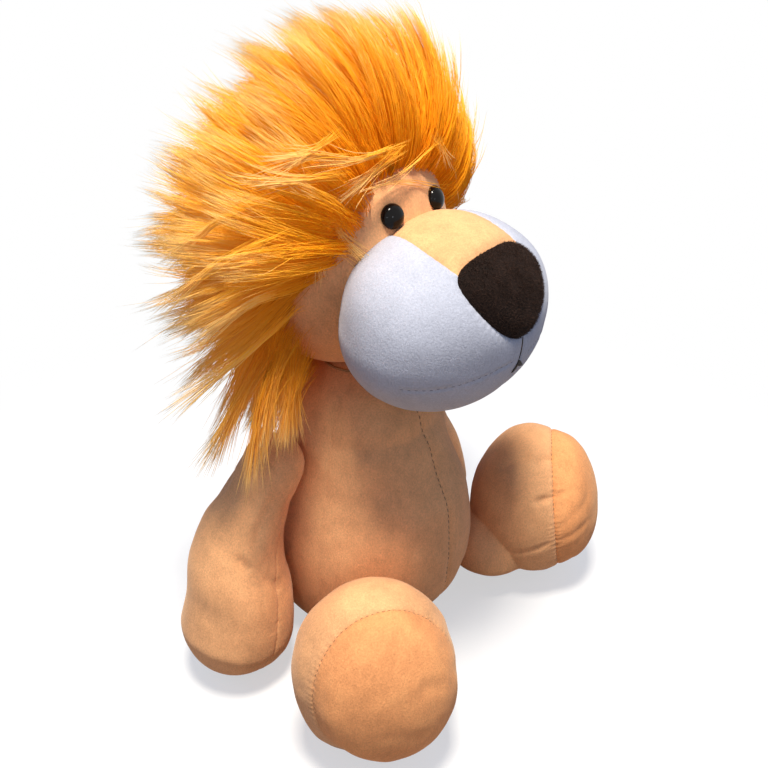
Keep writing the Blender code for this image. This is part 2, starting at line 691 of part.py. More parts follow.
def build_leg(side, sign, bodies):
    """A leg: one cover, an oval sole panel and its stuffing."""
    pivot = HIPS[side][0]
    spread, reach = FOOT_PLACES[side]
    foot = Vector((pivot.x + sign * spread, pivot.y - reach, FOOT_HALF_HEIGHT))
    turn = Matrix.Rotation(sign * FOOT_YAW, 3, "Z")
    form = leg_form(pivot, foot, turn)
    forward = turn @ Vector((0, -math.cos(SOLE_TILT), math.sin(SOLE_TILT)))
    seam = foot + forward * SOLE_SETBACK
    body = bodies[side + "_leg"]
    panel(side + "_leg_cover", form, [(seam, forward)], (TAN, 0.9), body)
    panel(side + "_sole", form, [(seam, -forward)], (TAN, 0.9), body)
    new_part(side + "_leg_stuffing", shrink(form, FABRIC + FILLING_GAP), (FILL, 1.0), body)
    form.free()
    inward = HIPS[side][1]
    stitches = bodies[side + "_hip_stitching"]
    joint_stitching(side + "_hip_stitching", pivot, inward, HIP_RADIUS, (THREADS, 0.7), stitches)


def build_tail(body):
    """A thin tail that bends round on the floor behind the lion, with a tuft."""
    outward = -TAIL_ROOT[1]
    pivot = TAIL_ROOT[0]
    side = outward.cross(UP).normalized()
    hub = pivot + side * TAIL_BEND_RADIUS
    drop = pivot.z - TAIL_RADIUS - CLEARANCE

    def spine(way):
        """Gives the place and the direction of the tail's middle at a share of its length."""
        turn = TAIL_SWEEP * way
        spot = hub + (outward * math.sin(turn) - side * math.cos(turn)) * TAIL_BEND_RADIUS
        ahead = outward * math.cos(turn) + side * math.sin(turn)
        ease = way * way * (3 - 2 * way)
        return spot - UP * drop * ease, ahead

    sections = []
    for k in range(TAIL_RINGS):
        spot, ahead = spine(k / (TAIL_RINGS - 1))
        first = ahead.cross(UP).normalized() * TAIL_RADIUS
        sections.append((spot, first, UP * TAIL_RADIUS, TAIL_STEPS))
    start_spot, start_ahead = spine(0)
    end_spot, end_ahead = spine(1)
    for k in range(1, ARM_CAP_RINGS):
        rise = math.pi / 2 * k / ARM_CAP_RINGS
        radius = TAIL_RADIUS * math.cos(rise)
        spot = start_spot - start_ahead * TAIL_RADIUS * math.sin(rise)
        first = start_ahead.cross(UP).normalized() * radius
        sections.insert(0, (spot, first, UP * radius, TAIL_STEPS))
    tube = loft(sections, start_spot - start_ahead * TAIL_RADIUS, None)
    new_part("tail", tube, (TAN, 0.9), body)
    root = end_spot + end_ahead * CLEARANCE
    tuft = []
    for way_share, radius_share in TUFT_SHARES:
        radius = TAIL_RADIUS + (TUFT_RADIUS - TAIL_RADIUS) * radius_share
        lift = UP * (radius - TAIL_RADIUS)
        first = end_ahead.cross(UP).normalized() * radius
        tuft.append((root + end_ahead * TUFT_LENGTH * way_share + lift, first, UP * radius, TAIL_STEPS))
    tip = root + end_ahead * TUFT_LENGTH
    new_part("tail_tuft", loft(tuft, None, tip), (ORANGE, 0.95), body)


# Places that several pieces share, worked out from the sizes above
SEAM_SPACE = CLEARANCE + THREAD + CLEARANCE
NECK = Vector((0, 0, NECK_HEIGHT))
HEAD = NECK + Vector((0, HEAD_SETBACK, HEAD_RISE))
HEAD_RADII = Vector((HEAD_HALF_WIDTH, HEAD_HALF_DEPTH, HEAD_HALF_HEIGHT))
MUZZLE = HEAD + Vector((0, -MUZZLE_REACH, -MUZZLE_DROP))
MUZZLE_TOP_OF_NOSE = NOSE_RISE + NOSE_HEIGHT / 2
MANE_BACKWARD = Vector((0, math.cos(MANE_FRONT_LEAN), math.sin(MANE_FRONT_LEAN)))
MANE_SEAM = HEAD - Vector((0, MANE_FRONT_SETBACK, 0))
SHOULDERS = {side: torso_seat(SHOULDER_HEIGHT,
                              Vector((sign * math.cos(SHOULDER_AZIMUTH), math.sin(SHOULDER_AZIMUTH), 0)),
                              UPPER_ARM_RADIUS, SEAM_SPACE) for side, sign in SIDES}
HIPS = {side: torso_seat(HIP_HEIGHT,
                         Vector((sign * math.cos(HIP_AZIMUTH), -math.sin(HIP_AZIMUTH), 0)),
                         HIP_RADIUS, SEAM_SPACE) for side, sign in SIDES}
TAIL_ROOT = torso_seat(TAIL_ROOT_HEIGHT,
                       Vector((math.sin(TAIL_AZIMUTH), math.cos(TAIL_AZIMUTH), 0)), TAIL_RADIUS, 0)

clear_scene()
PARTS = new_collection("plush_lion")
CUTTERS = new_collection("cutters")
BODIES = {"torso": new_empty("torso_body", Vector())}
BODIES["neck_stitching"] = new_empty("neck_joint", NECK)
BODIES["head"] = new_empty("head_joint", NECK)
for side_name, _ in SIDES:
    for limb, seat_place in (("arm", SHOULDERS[side_name][0]), ("leg", HIPS[side_name][0])):
        root_name = side_name + ("_shoulder" if limb == "arm" else "_hip")
        BODIES[root_name + "_stitching"] = new_empty(root_name + "_joint", seat_place)
        BODIES[side_name + "_" + limb] = new_empty(side_name + "_" + limb + "_joint", seat_place)
BODIES["tail"] = new_empty("tail_joint", TAIL_ROOT[0])

build_torso(BODIES["torso"])
build_neck_stitching(BODIES["neck_stitching"])
build_head(BODIES["head"])
build_muzzle(BODIES["head"])
build_mane(BODIES["head"])
for side_name, side_sign in SIDES:
    build_arm(side_name, side_sign, BODIES)
    build_leg(side_name, side_sign, BODIES)
build_tail(BODIES["tail"])
for side_name, _ in SIDES:
    print(side_name, "shoulder", *(round(v / MM, 2) for v in SHOULDERS[side_name][0]), "mm")
    print(side_name, "hip", *(round(v / MM, 2) for v in HIPS[side_name][0]), "mm")
print("neck", *(round(v / MM, 2) for v in NECK), "mm, tail", *(round(v / MM, 2) for v in TAIL_ROOT[0]), "mm")
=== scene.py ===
"""The looks of a seated plush lion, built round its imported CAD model.

Metres, +Z up. The lion faces -Y, and its own right side is at -X.
"""

import json
import math

import bpy
import numpy as np
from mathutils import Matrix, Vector, kdtree


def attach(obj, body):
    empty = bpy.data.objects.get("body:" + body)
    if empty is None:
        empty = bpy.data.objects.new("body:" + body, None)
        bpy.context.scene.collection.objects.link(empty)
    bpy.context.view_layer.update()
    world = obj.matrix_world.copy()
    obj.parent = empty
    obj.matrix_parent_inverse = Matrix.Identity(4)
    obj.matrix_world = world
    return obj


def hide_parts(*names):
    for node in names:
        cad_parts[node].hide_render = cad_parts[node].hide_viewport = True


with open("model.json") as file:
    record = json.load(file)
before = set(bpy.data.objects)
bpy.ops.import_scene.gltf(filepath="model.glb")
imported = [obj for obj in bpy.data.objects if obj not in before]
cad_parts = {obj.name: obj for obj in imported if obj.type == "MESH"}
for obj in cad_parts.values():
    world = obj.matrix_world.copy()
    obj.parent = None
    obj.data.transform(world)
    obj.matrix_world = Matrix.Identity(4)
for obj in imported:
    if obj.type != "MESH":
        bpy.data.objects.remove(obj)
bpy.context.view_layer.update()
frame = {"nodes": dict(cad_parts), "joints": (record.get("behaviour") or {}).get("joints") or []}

MM = 0.001
UP = np.array([0.0, 0.0, 1.0])
SIDES = (("right", -1), ("left", 1))

# Joints of the CAD model that the looks are built on
JOINTS = {joint["name"]: np.array(joint["pos_m"]) for joint in frame["joints"]}
NECK = JOINTS["head_nod"]


def unit(vector):
    """Gives a vector, or a row of them, the length 1."""
    vector = np.asarray(vector, float)
    return vector / np.maximum(np.linalg.norm(vector, axis=-1, keepdims=True), 1e-12)


def smooth_step(value, low, high):
    """Rises smoothly from 0 at low to 1 at high."""
    share = np.clip((value - low) / (high - low), 0, 1)
    return share * share * (3 - 2 * share)


def lumps(points, size, seed):
    """Smooth noise between -1 and 1 in lumps of about that size, the same each run."""
    table = np.random.default_rng(seed).uniform(-1, 1, 4096)
    spot = np.asarray(points) / size + 100
    cell = np.floor(spot).astype(np.int64)
    share = spot - cell
    share = share * share * (3 - 2 * share)
    total = np.zeros(len(spot))
    for corner in np.ndindex(2, 2, 2):
        at = cell + corner
        key = (at[:, 0] * 73856093 ^ at[:, 1] * 19349663 ^ at[:, 2] * 83492791) & 4095
        total += table[key] * np.prod(np.where(corner, share, 1 - share), axis=1)
    return total


def through(points, count):
    """Samples a smooth curve through points, evenly by its length."""
    points = np.asarray(points, float)
    ends = np.vstack([2 * points[0] - points[1], points, 2 * points[-1] - points[-2]])
    fine = []
    share = np.linspace(0, 1, 24, endpoint=False)[:, None]
    for k in range(len(points) - 1):
        a, b, c, d = ends[k:k + 4]
        fine.append(0.5 * (2 * b + (c - a) * share + (2 * a - 5 * b + 4 * c - d) * share ** 2
                           + (3 * b - a - 3 * c + d) * share ** 3))
    fine = np.vstack(fine + [points[-1:]])
    way = np.concatenate([[0], np.cumsum(np.linalg.norm(np.diff(fine, axis=0), axis=1))])
    at = np.linspace(0, way[-1], count)
    return np.stack([np.interp(at, way, fine[:, k]) for k in range(fine.shape[1])], axis=1)


# Skins: dense triangle meshes whose every point also carries its normal


class Skin:
    """Points with their normals, triangles, and the triangles' places on the bake's map."""

    def __init__(self, points, tris, uvs, normals=None):
        self.points = points
        self.tris = tris
        self.uvs = uvs
        self.normals = normals if normals is not None else self.find_normals()

    def find_normals(self):
        """Averages the face normals round each point."""
        a, b, c = (self.points[self.tris[:, k]] for k in range(3))
        face = np.cross(b - a, c - a)
        total = np.zeros_like(self.points)
        for k in range(3):
            np.add.at(total, self.tris[:, k], face)
        return unit(total)


def ball_skin(steps):
    """A unit ball of even triangles, drawn on the six sides of a cube."""
    line = np.tan(np.linspace(-1, 1, steps + 1) * math.pi / 4)
    a, b = (grid.ravel() for grid in np.meshgrid(line, line, indexing="ij"))
    one = np.ones_like(a)
    sides = [(one, a, b), (-one, -a, b), (-a, one, b), (a, -one, b), (-b, a, one), (b, a, -one)]
    share = np.linspace(0.01, 0.99, steps + 1)
    u, v = (grid.ravel() for grid in np.meshgrid(share, share, indexing="ij"))
    points = np.vstack([unit(np.stack(side, axis=1)) for side in sides])
    places = np.vstack([np.stack([(k % 3 + u) / 3, (k // 3 + v) / 2], axis=1) for k in range(6)])
    i, j = (grid.ravel() for grid in np.meshgrid(np.arange(steps), np.arange(steps), indexing="ij"))
    low = i * (steps + 1) + j
    quad = np.stack([low, low + steps + 1, low + steps + 2, low + 1], axis=1)
    tris = np.vstack([quad[:, [0, 1, 2]], quad[:, [0, 2, 3]]])
    tris = np.vstack([tris + k * (steps + 1) ** 2 for k in range(6)])
    mid = points[tris].mean(axis=1)
    a, b, c = (points[tris[:, k]] for k in range(3))
    facing = np.einsum("ij,ij->i", np.cross(b - a, c - a), mid)
    tris = np.where(facing[:, None] < 0, tris[:, ::-1], tris)
    uvs = places[tris]
    _, first, welded = np.unique(np.round(points, 6), axis=0, return_index=True, return_inverse=True)
    return Skin(points[first], welded.ravel()[tris], uvs)


def loft_skin(centres, firsts, seconds, columns):
    """Skins a row of rings and closes both ends with a point."""
    rows = len(centres)
    turn = np.linspace(0, math.tau, columns, endpoint=False)
    rings = (centres[:, None] + firsts[:, None] * np.cos(turn)[None, :, None]
             + seconds[:, None] * np.sin(turn)[None, :, None])
    points = np.vstack([rings.reshape(-1, 3), centres[:1], centres[-1:]])
    i, j = (grid.ravel() for grid in np.meshgrid(np.arange(rows - 1), np.arange(columns), indexing="ij"))
    after = (j + 1) % columns
    low, high = i * columns, (i + 1) * columns
    quad = np.stack([low + j, low + after, high + after, high + j], axis=1)
    across = np.stack([j, j + 1, j + 1, j], axis=1) / columns
    along = 0.02 + 0.96 * np.stack([i, i, i + 1, i + 1], axis=1) / (rows - 1)
    place = np.stack([across, along], axis=2)
    tris = [quad[:, [0, 1, 2]], quad[:, [0, 2, 3]]]
    uvs = [place[:, [0, 1, 2]], place[:, [0, 2, 3]]]
    j = np.arange(columns)
    for row, tip, edge, flip in ((0, rows * columns, 0.0, True), (rows - 1, rows * columns + 1, 1.0, False)):
        fan = np.stack([row * columns + j, row * columns + (j + 1) % columns, np.full(columns, tip)], axis=1)
        inner = 0.02 if flip else 0.98
        spots = np.stack([np.stack([j, j + 1, j + 0.5], axis=1) / columns,
                          np.tile([inner, inner, edge], (columns, 1))], axis=2)
        tris.append(fan[:, ::-1] if flip else fan)
        uvs.append(spots[:, ::-1] if flip else spots)
    tris, uvs = np.vstack(tris), np.vstack(uvs)
    skin = Skin(points, tris, uvs)
    middle = centres.mean(axis=0)
    if np.einsum("ij,ij->i", skin.normals, skin.points - middle).mean() < 0:
        skin = Skin(points, tris[:, ::-1], uvs[:, ::-1])
    return skin


def cut(skin, values):
    """Cuts a skin along the line where its values are zero. Gives the part above and the part below."""
    values = np.where(np.abs(values) < 1e-8, 1e-8, values)
    above = values > 0
    flags = above[skin.tris]
    count = flags.sum(axis=1)
    mixed = (count == 1) | (count == 2)
    tris, uvs, flags = skin.tris[mixed], skin.uvs[mixed], flags[mixed]
    lone_above = flags.sum(axis=1) == 1
    lone = np.where(lone_above, flags.argmax(axis=1), flags.argmin(axis=1))
    order = (lone[:, None] + np.arange(3)) % 3
    rows = np.arange(len(tris))[:, None]
    tris, uvs = tris[rows, order], uvs[rows, order]
    size = len(skin.points)
    keys, places = [], []
    for k in (1, 2):
        i, j = tris[:, 0], tris[:, k]
        way = (values[i] / (values[i] - values[j]))[:, None]
        keys.append(np.minimum(i, j) * size + np.maximum(i, j))
        places.append(uvs[:, 0] * (1 - way) + uvs[:, k] * way)
    found, welded = np.unique(np.concatenate(keys), return_inverse=True)
    i, j = found // size, found % size
    way = (values[i] / (values[i] - values[j]))[:, None]
    points = np.vstack([skin.points, skin.points[i] * (1 - way) + skin.points[j] * way])
    normals = np.vstack([skin.normals, unit(skin.normals[i] * (1 - way) + skin.normals[j] * way)])
    first, second = size + welded[:len(tris)], size + welded[len(tris):]
    tip = np.stack([tris[:, 0], first, second], axis=1)
    tip_uvs = np.stack([uvs[:, 0], places[0], places[1]], axis=1)
    rest = np.vstack([np.stack([first, tris[:, 1], tris[:, 2]], axis=1),
                      np.stack([first, tris[:, 2], second], axis=1)])
    rest_uvs = np.vstack([np.stack([places[0], uvs[:, 1], uvs[:, 2]], axis=1),
                          np.stack([places[0], uvs[:, 2], places[1]], axis=1)])
    twice = np.concatenate([lone_above, lone_above])
    parts = []
    for up in (True, False):
        whole = count == (3 if up else 0)
        faces = np.vstack([skin.tris[whole], tip[lone_above == up], rest[twice != up]])
        face_uvs = np.vstack([skin.uvs[whole], tip_uvs[lone_above == up], rest_uvs[twice != up]])
        used, again = np.unique(faces, return_inverse=True)
        parts.append(Skin(points[used], again.reshape(faces.shape), face_uvs, normals[used]))
    return parts


def new_object(name, skin, material, body, nodes=()):
    """Makes a smooth mesh object of a skin, which rides on a body."""
    mesh = bpy.data.meshes.new(name)
    mesh.vertices.add(len(skin.points))
    mesh.vertices.foreach_set("co", np.asarray(skin.points, np.float32).ravel())
    mesh.loops.add(skin.tris.size)
    mesh.loops.foreach_set("vertex_index", np.asarray(skin.tris, np.int32).ravel())
    mesh.polygons.add(len(skin.tris))
    mesh.polygons.foreach_set("loop_start", np.arange(0, skin.tris.size, 3, dtype=np.int32))
    mesh.update(calc_edges=True)
    layer = mesh.uv_layers.new(name="OFBake")
    layer.uv.foreach_set("vector", np.asarray(skin.uvs, np.float32).ravel())
    mesh.shade_smooth()
    mesh.materials.append(material)
    obj = bpy.data.objects.new(name, mesh)
    bpy.context.scene.collection.objects.link(obj)
    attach(obj, body)
    if nodes:
        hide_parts(*nodes)
    return obj


def raised(skin, rise):
    """The same skin with its points moved out along their normals."""
    return Skin(skin.points + skin.normals * rise[:, None], skin.tris, skin.uvs, skin.normals)


def panel(name, skin, relief, material, body, nodes):
    """Raises a skin by its relief and makes an object of it."""
    obj = new_object(name, raised(skin, relief(skin.points)), material, body, nodes)
    return obj


def scatter(random, skin, count):
    """Spreads places evenly over a skin. Gives them with their normals."""
    a, b, c = (skin.points[skin.tris[:, k]] for k in range(3))
    area = np.linalg.norm(np.cross(b - a, c - a), axis=1)
    rows = random.choice(len(area), count, p=area / area.sum())
    share = random.uniform(size=(count, 2))
    share = np.where(share.sum(axis=1, keepdims=True) > 1, 1 - share, share)
    spots = a[rows] + (b - a)[rows] * share[:, :1] + (c - a)[rows] * share[:, 1:]
    return spots, unit(skin.normals[skin.tris[rows]].mean(axis=1))


def tube(points, radius, sides=8):
    """Gives a round thread's skin along a path, closed to a point at both ends."""
    points = np.asarray(points, float)
    ahead = unit(np.gradient(points, axis=0))
    aside = unit(np.cross(ahead, [0.31, 0.22, 0.92]))
    rise = np.cross(aside, ahead)
    radii = np.full((len(points), 1), radius)
    radii[[0, -1]] = radius * 0.2
    return loft_skin(points, aside * radii, rise * radii, sides)


def join(skins):
    """Puts several skins in one."""
    shifts = np.cumsum([0] + [len(skin.points) for skin in skins])
    return Skin(np.vstack([skin.points for skin in skins]),
                np.vstack([skin.tris + shift for skin, shift in zip(skins, shifts)]),
                np.vstack([skin.uvs for skin in skins]), np.vstack([skin.normals for skin in skins]))


def stitches(line, outward, length, gap, thickness, sunk=0.0):
    """Sews a row of short threads along a line that lies on a skin."""
    step = np.linalg.norm(np.diff(line, axis=0), axis=1)
    way = np.concatenate([[0], np.cumsum(step)])
    skins = []
    for start in np.arange(gap / 2, way[-1] - length, length + gap):
        at = start + np.linspace(0, length, 7)
        spots = np.stack([np.interp(at, way, line[:, k]) for k in range(3)], axis=1)
        out = unit(np.stack([np.interp(at, way, outward[:, k]) for k in range(3)], axis=1))
        arch = np.sin(np.linspace(0, math.pi, 7)) ** 0.5 * thickness * 0.55 - thickness * 0.45 - sunk
        skins.append(tube(spots + out * arch[:, None], thickness / 2))
    return skins


def seam_line(skin, offset, order):
    """Picks the points of a skin that lie on a seam, sorted along it, with their normals."""
    on = np.abs(offset(skin.points)) < 1e-6
    points, normals = skin.points[on], skin.normals[on]
    rows = np.argsort(order(points))
    return points[rows], normals[rows]


def sew(name, line, normals, relief, material, body, length=2.3 * MM, gap=0.9 * MM, thickness=0.5 * MM):
    """Makes one object of the stitches along a seam of a raised skin."""
    on_top = line + normals * relief(line)[:, None]
    return new_object(name, join(stitches(on_top, normals, length, gap, thickness)), material, body)


# Cloth: the covers are simulated over their filling, and how they bulge and draw in goes into the dense skins

CLOTH_VOXEL = 4 * MM
CLOTH_FRAMES = 20
CLOTH_READING_REACH = 2.4 * MM
CLOTH_SETTINGS = {
    "quality": 6, "mass": 0.15, "tension_stiffness": 14, "compression_stiffness": 14,
    "bending_stiffness": 0.25, "use_pressure": True, "uniform_pressure_force": 4.0,
    "vertex_group_shrink": "seam", "shrink_max": 0.22,
    "vertex_group_mass": "held",
}


def blur(points, spots, values, reach):
    """Reads values given at spots as a smooth field at other points."""
    found = []
    for part in np.array_split(points, max(1, len(points) // 3000)):
        apart = ((part[:, None] - spots[None]) ** 2).sum(axis=2)
        share = np.exp(-apart / (2 * reach ** 2))
        found.append(share @ values / np.maximum(share.sum(axis=1), 1e-9))
    return np.concatenate(found)


def settle(skin, seam, held, cap=1.6 * MM, reach=14 * MM):
    """Blows a cover up with filling while its seams draw in and its sewn end holds.

    Seam and held give weights from 0 to 1 at places. Gives a function of how far the skin rises at any place.
    """
    mesh = bpy.data.meshes.new("cover")
    mesh.from_pydata(skin.points.tolist(), [], skin.tris.tolist())
    cover = bpy.data.objects.new("cover", mesh)
    bpy.context.scene.collection.objects.link(cover)
    remesh = cover.modifiers.new("remesh", "REMESH")
    remesh.mode = "VOXEL"
    remesh.voxel_size = CLOTH_VOXEL
    graph = bpy.context.evaluated_depsgraph_get()
    coarse = bpy.data.meshes.new_from_object(cover.evaluated_get(graph))
    cover.modifiers.clear()
    cover.data = coarse
    rest = read_points(coarse)
    normals = np.zeros(len(coarse.vertices) * 3)
    coarse.vertices.foreach_get("normal", normals)
    for name, weights in (("seam", seam(rest)), ("held", held(rest))):
        group = cover.vertex_groups.new(name=name)
        for number in np.flatnonzero(weights > 0.02):
            group.add([int(number)], float(min(weights[number], 1)), "REPLACE")
    cloth = cover.modifiers.new("cloth", "CLOTH").settings
    for setting, value in CLOTH_SETTINGS.items():
        setattr(cloth, setting, value)
    cloth.effector_weights.gravity = 0
    for number in range(1, CLOTH_FRAMES + 1):
        bpy.context.scene.frame_set(number)
    graph = bpy.context.evaluated_depsgraph_get()
    moved = read_points(cover.evaluated_get(graph).data)
    bpy.context.scene.frame_set(1)
    bpy.data.objects.remove(cover)
    rise = np.einsum("ij,ij->i", moved - rest, normals.reshape(-1, 3))
    rise -= blur(rest, rest, rise, reach)
    rise = cap * np.tanh(rise / cap)
    return lambda points: blur(points, rest, rise, CLOTH_READING_REACH)


def read_points(mesh):
    """Gives a mesh's points."""
    flat = np.zeros(len(mesh.vertices) * 3)
    mesh.vertices.foreach_get("co", flat)
    return flat.reshape(-1, 3)


# Materials


class Nodes:
    """Short calls for building the nodes of a material or a world."""

    def __init__(self, owner):
        owner.use_nodes = True
        self.owner = owner
        self.tree = owner.node_tree
        self.shader = self.tree.nodes.get("Principled BSDF")

    def add(self, kind, values=None, **settings):
        node = self.tree.nodes.new("ShaderNode" + kind)
        for key, value in settings.items():
            setattr(node, key, value)
        for key, value in (values or {}).items():
            node.inputs[key].default_value = value
        return node

    def join(self, source, target):
        self.tree.links.new(source, target)

    def shade(self, name, value):
        """Sets a socket of the shader, or joins it."""
        socket = self.shader.inputs[name]
        if isinstance(value, (int, float, tuple)):
            socket.default_value = value
        else:
            self.join(value, socket)

    def noise(self, where, scale, detail=2.0, roughness=0.5, distortion=0.0):
        node = self.add("TexNoise", {"Scale": scale, "Detail": detail, "Roughness": roughness,
                                     "Distortion": distortion})
        self.join(where, node.inputs["Vector"])
        return node.outputs["Fac"]

    def stretched(self, where, scale):
        node = self.add("Mapping", {"Scale": scale})
        self.join(where, node.inputs["Vector"])
        return node.outputs["Vector"]

    def ramp(self, value, stops):
        node = self.add("ValToRGB")
        while len(node.color_ramp.elements) < len(stops):
            node.color_ramp.elements.new(0.5)
        for element, (place, colour) in zip(node.color_ramp.elements, stops):
            element.position = place
            element.color = (*colour, 1)
        self.join(value, node.inputs["Fac"])
        return node.outputs["Color"]

    def math(self, operation, first, second):
        node = self.add("Math", operation=operation)
        for socket, value in zip(node.inputs, (first, second)):
            if isinstance(value, (int, float)):
                socket.default_value = value
            else:
                self.join(value, socket)
        return node.outputs["Value"]

    def mix(self, blend, share, first, second):
        node = self.add("Mix", data_type="RGBA", blend_type=blend)
        for socket, value in ((node.inputs[0], share), (node.inputs[6], first), (node.inputs[7], second)):
            if isinstance(value, (int, float)):
                socket.default_value = value
            elif isinstance(value, tuple):
                socket.default_value = (*value, 1)
            else:
                self.join(value, socket)
        return node.outputs[2]

    def bump(self, height, distance, strength):
        node = self.add("Bump", {"Strength": strength, "Distance": distance})
        self.join(height, node.inputs["Height"])
        self.shade("Normal", node.outputs["Normal"])


def shades(colour, *scales):
    """Gives darker and lighter versions of a colour."""
    return [tuple(min(1.0, c * s) for c in colour) for s in scales]


def plush(name, colour, sheen, tint, grain=0.2, nap=0.12, pile=1.0, glow=0.0):
    """Short brushed pile: lying patches, fine grain and a soft sheen."""
    n = Nodes(bpy.data.materials.new(name))
    where = n.add("TexCoord").outputs["Object"]
    patches = n.math("ADD", n.math("MULTIPLY", n.noise(where, 38, 3, 0.55, 0.6), 0.6),
                     n.math("MULTIPLY", n.noise(n.stretched(where, (1.0, 1.0, 0.5)), 150, 3, 0.6, 1.2), 0.4))
    grains = n.noise(where, 1250 / pile, 2, 0.7)
    fibres = n.noise(n.stretched(where, (1.0, 1.0, 0.28)), 1900 / pile, 1, 0.6)
    low, mid, high = shades(colour, 1 - nap, 1, 1 + nap)
    lying = n.ramp(patches, [(0.38, low), (0.5, mid), (0.63, high)])
    speck = n.ramp(grains, [(0.25, (1 - grain,) * 3), (0.75, (1 + grain * 0.5,) * 3)])
    thin = n.ramp(fibres, [(0.3, (1 - grain * 0.6,) * 3), (0.7, (1.0,) * 3)])
    colour_out = n.mix("MULTIPLY", 1.0, n.mix("MULTIPLY", 1.0, lying, speck), thin)
    n.shade("Base Color", colour_out)
    # Painted glow: the colour is also emitted, lifting it in the shade
    if glow:
        n.shade("Emission Color", colour_out)
        n.shade("Emission Strength", glow)
    height = n.math("ADD", n.math("MULTIPLY", grains, 0.6), n.math("MULTIPLY", fibres, 0.4))
    n.bump(height, 0.5 * MM * pile, 0.55)
    n.shade("Roughness", 0.92)
    n.shade("Specular IOR Level", 0.18)
    n.shade("Sheen Weight", sheen)
    n.shade("Sheen Roughness", 0.45)
    n.shade("Sheen Tint", (*tint, 1))
    return n.owner


def hair(name, deep_stops, pale_stops, gloss, glow):
    """Pile: the map's width holds each strand's tone and its height the way along it."""
    n = Nodes(bpy.data.materials.new(name))
    layer = n.add("UVMap", uv_map="OFBake")
    parts = n.add("SeparateXYZ")
    n.join(layer.outputs["UV"], parts.inputs[0])
    deep = n.ramp(parts.outputs["Y"], deep_stops)
    pale = n.ramp(parts.outputs["Y"], pale_stops)
    colour = n.mix("MIX", parts.outputs["X"], deep, pale)
    n.shade("Base Color", colour)
    # Painted glow: the strands' colour is also emitted, standing in for light that has come through the
    # strands and lifting the shade between them
    n.shade("Emission Color", colour)
    n.shade("Emission Strength", glow)
    n.shade("Roughness", 0.6)
    n.shade("Specular IOR Level", gloss)
    return n.owner


def thread(name, colour):
    """Twisted sewing thread."""
    n = Nodes(bpy.data.materials.new(name))
    where = n.add("TexCoord").outputs["Object"]
    wave = n.add("TexWave", {"Scale": 900.0, "Distortion": 1.5, "Detail": 1.0}, bands_direction="DIAGONAL")
    n.join(where, wave.inputs["Vector"])
    low, high = shades(colour, 0.6, 1.15)
    n.shade("Base Color", n.ramp(wave.outputs["Fac"], [(0.2, low), (0.8, high)]))
    n.bump(wave.outputs["Fac"], 0.1 * MM, 0.6)
    n.shade("Roughness", 0.75)
    return n.owner


def plastic(name, colour, roughness, coat):
    """Moulded plastic with a faint unevenness."""
    n = Nodes(bpy.data.materials.new(name))
    cloud = n.noise(n.add("TexCoord").outputs["Object"], 260, 2)
    low, high = shades(colour, 0.8, 1.2)
    n.shade("Base Color", n.ramp(cloud, [(0.3, low), (0.7, high)]))
    rough = n.add("MapRange", {"To Min": roughness * 0.8, "To Max": roughness * 1.3})
    n.join(cloud, rough.inputs["Value"])
    n.shade("Roughness", rough.outputs["Result"])
    n.shade("Coat Weight", coat)
    n.shade("Coat IOR", 1.35)
    n.shade("Specular IOR Level", 0.06)
    n.shade("Coat Roughness", 0.04)
    return n.owner


TAN = plush("tan plush", (0.92, 0.46, 0.205), 0.30, (1.0, 0.82, 0.64))
# The sole is the cover's plush in a deeper orange: partly the other lie of its pile, partly painted shade for
# how light falls on it
SOLE = plush("sole plush", (0.92, 0.385, 0.145), 0.25, (1.0, 0.78, 0.54), nap=0.13)
# The white plush is tinted blue: painted shade, the cool colour of its shaded side
WHITE = plush("white plush", (0.50, 0.52, 0.60), 0.22, (0.95, 0.97, 1.0), grain=0.16, nap=0.06)
BROWN = plush("nose plush", (0.012, 0.005, 0.003), 0.05, (0.36, 0.19, 0.14), grain=0.6, nap=0.35, pile=1.6)
# The mane pile's last value is its painted glow, which lifts the shade between the locks
MANE = hair("mane pile",
            [(0.0, (0.42, 0.13, 0.005)), (0.35, (0.70, 0.27, 0.022)), (0.75, (0.86, 0.43, 0.09)),
             (1.0, (0.96, 0.66, 0.30))],
            [(0.0, (0.95, 0.30, 0.003)), (0.45, (1.0, 0.41, 0.006)), (0.80, (1.0, 0.48, 0.025)),
             (1.0, (1.0, 0.70, 0.28))], 0.10, 0.10)
NOSE_FIBRE = hair("nose fibre", [(0.0, (0.008, 0.004, 0.003)), (1.0, (0.030, 0.014, 0.009))],
                  [(0.0, (0.014, 0.006, 0.004)), (1.0, (0.070, 0.034, 0.022))], 0.2, 0.0)
# The undercoat's last value is a painted glow that lifts it in the shade between the locks
UNDERCOAT = plush("mane undercoat", (0.90, 0.34, 0.012), 0.0, (1.0, 0.6, 0.3), 0.35, 0.2, 2.4, 0.06)
THREAD = thread("sewing thread", (0.45, 0.24, 0.09))
SEAM_THREAD = thread("seam thread", (0.16, 0.065, 0.02))
SOLE_THREAD = thread("sole thread", (0.36, 0.17, 0.07))
GREY_THREAD = thread("grey thread", (0.24, 0.22, 0.24))
DARK_THREAD = thread("dark thread", (0.02, 0.012, 0.01))
EYE = plastic("eye plastic", (0.004, 0.0035, 0.0035), 0.08, 0.35)
WASHER = plastic("washer plastic", (0.75, 0.75, 0.72), 0.4, 0.0)

# Reliefs: how far a skin stands out or in at its seams, folds and lumps


def groove(distance, depth, width):
    """A sewn-in line."""
    return -depth * np.exp(-np.abs(distance) / width) - depth * 0.3 * np.exp(-(distance / (width * 5)) ** 2)


def puckers(distance, along, size, pitch, reach, seed):
    """Small gathers across a seam."""
    stagger = lumps(np.stack([along, along * 0, along * 0], axis=1), pitch * 3, seed) * 2
    wave = np.cos(math.tau * along / pitch + stagger)
    return size * wave * np.exp(-(distance / reach) ** 2)


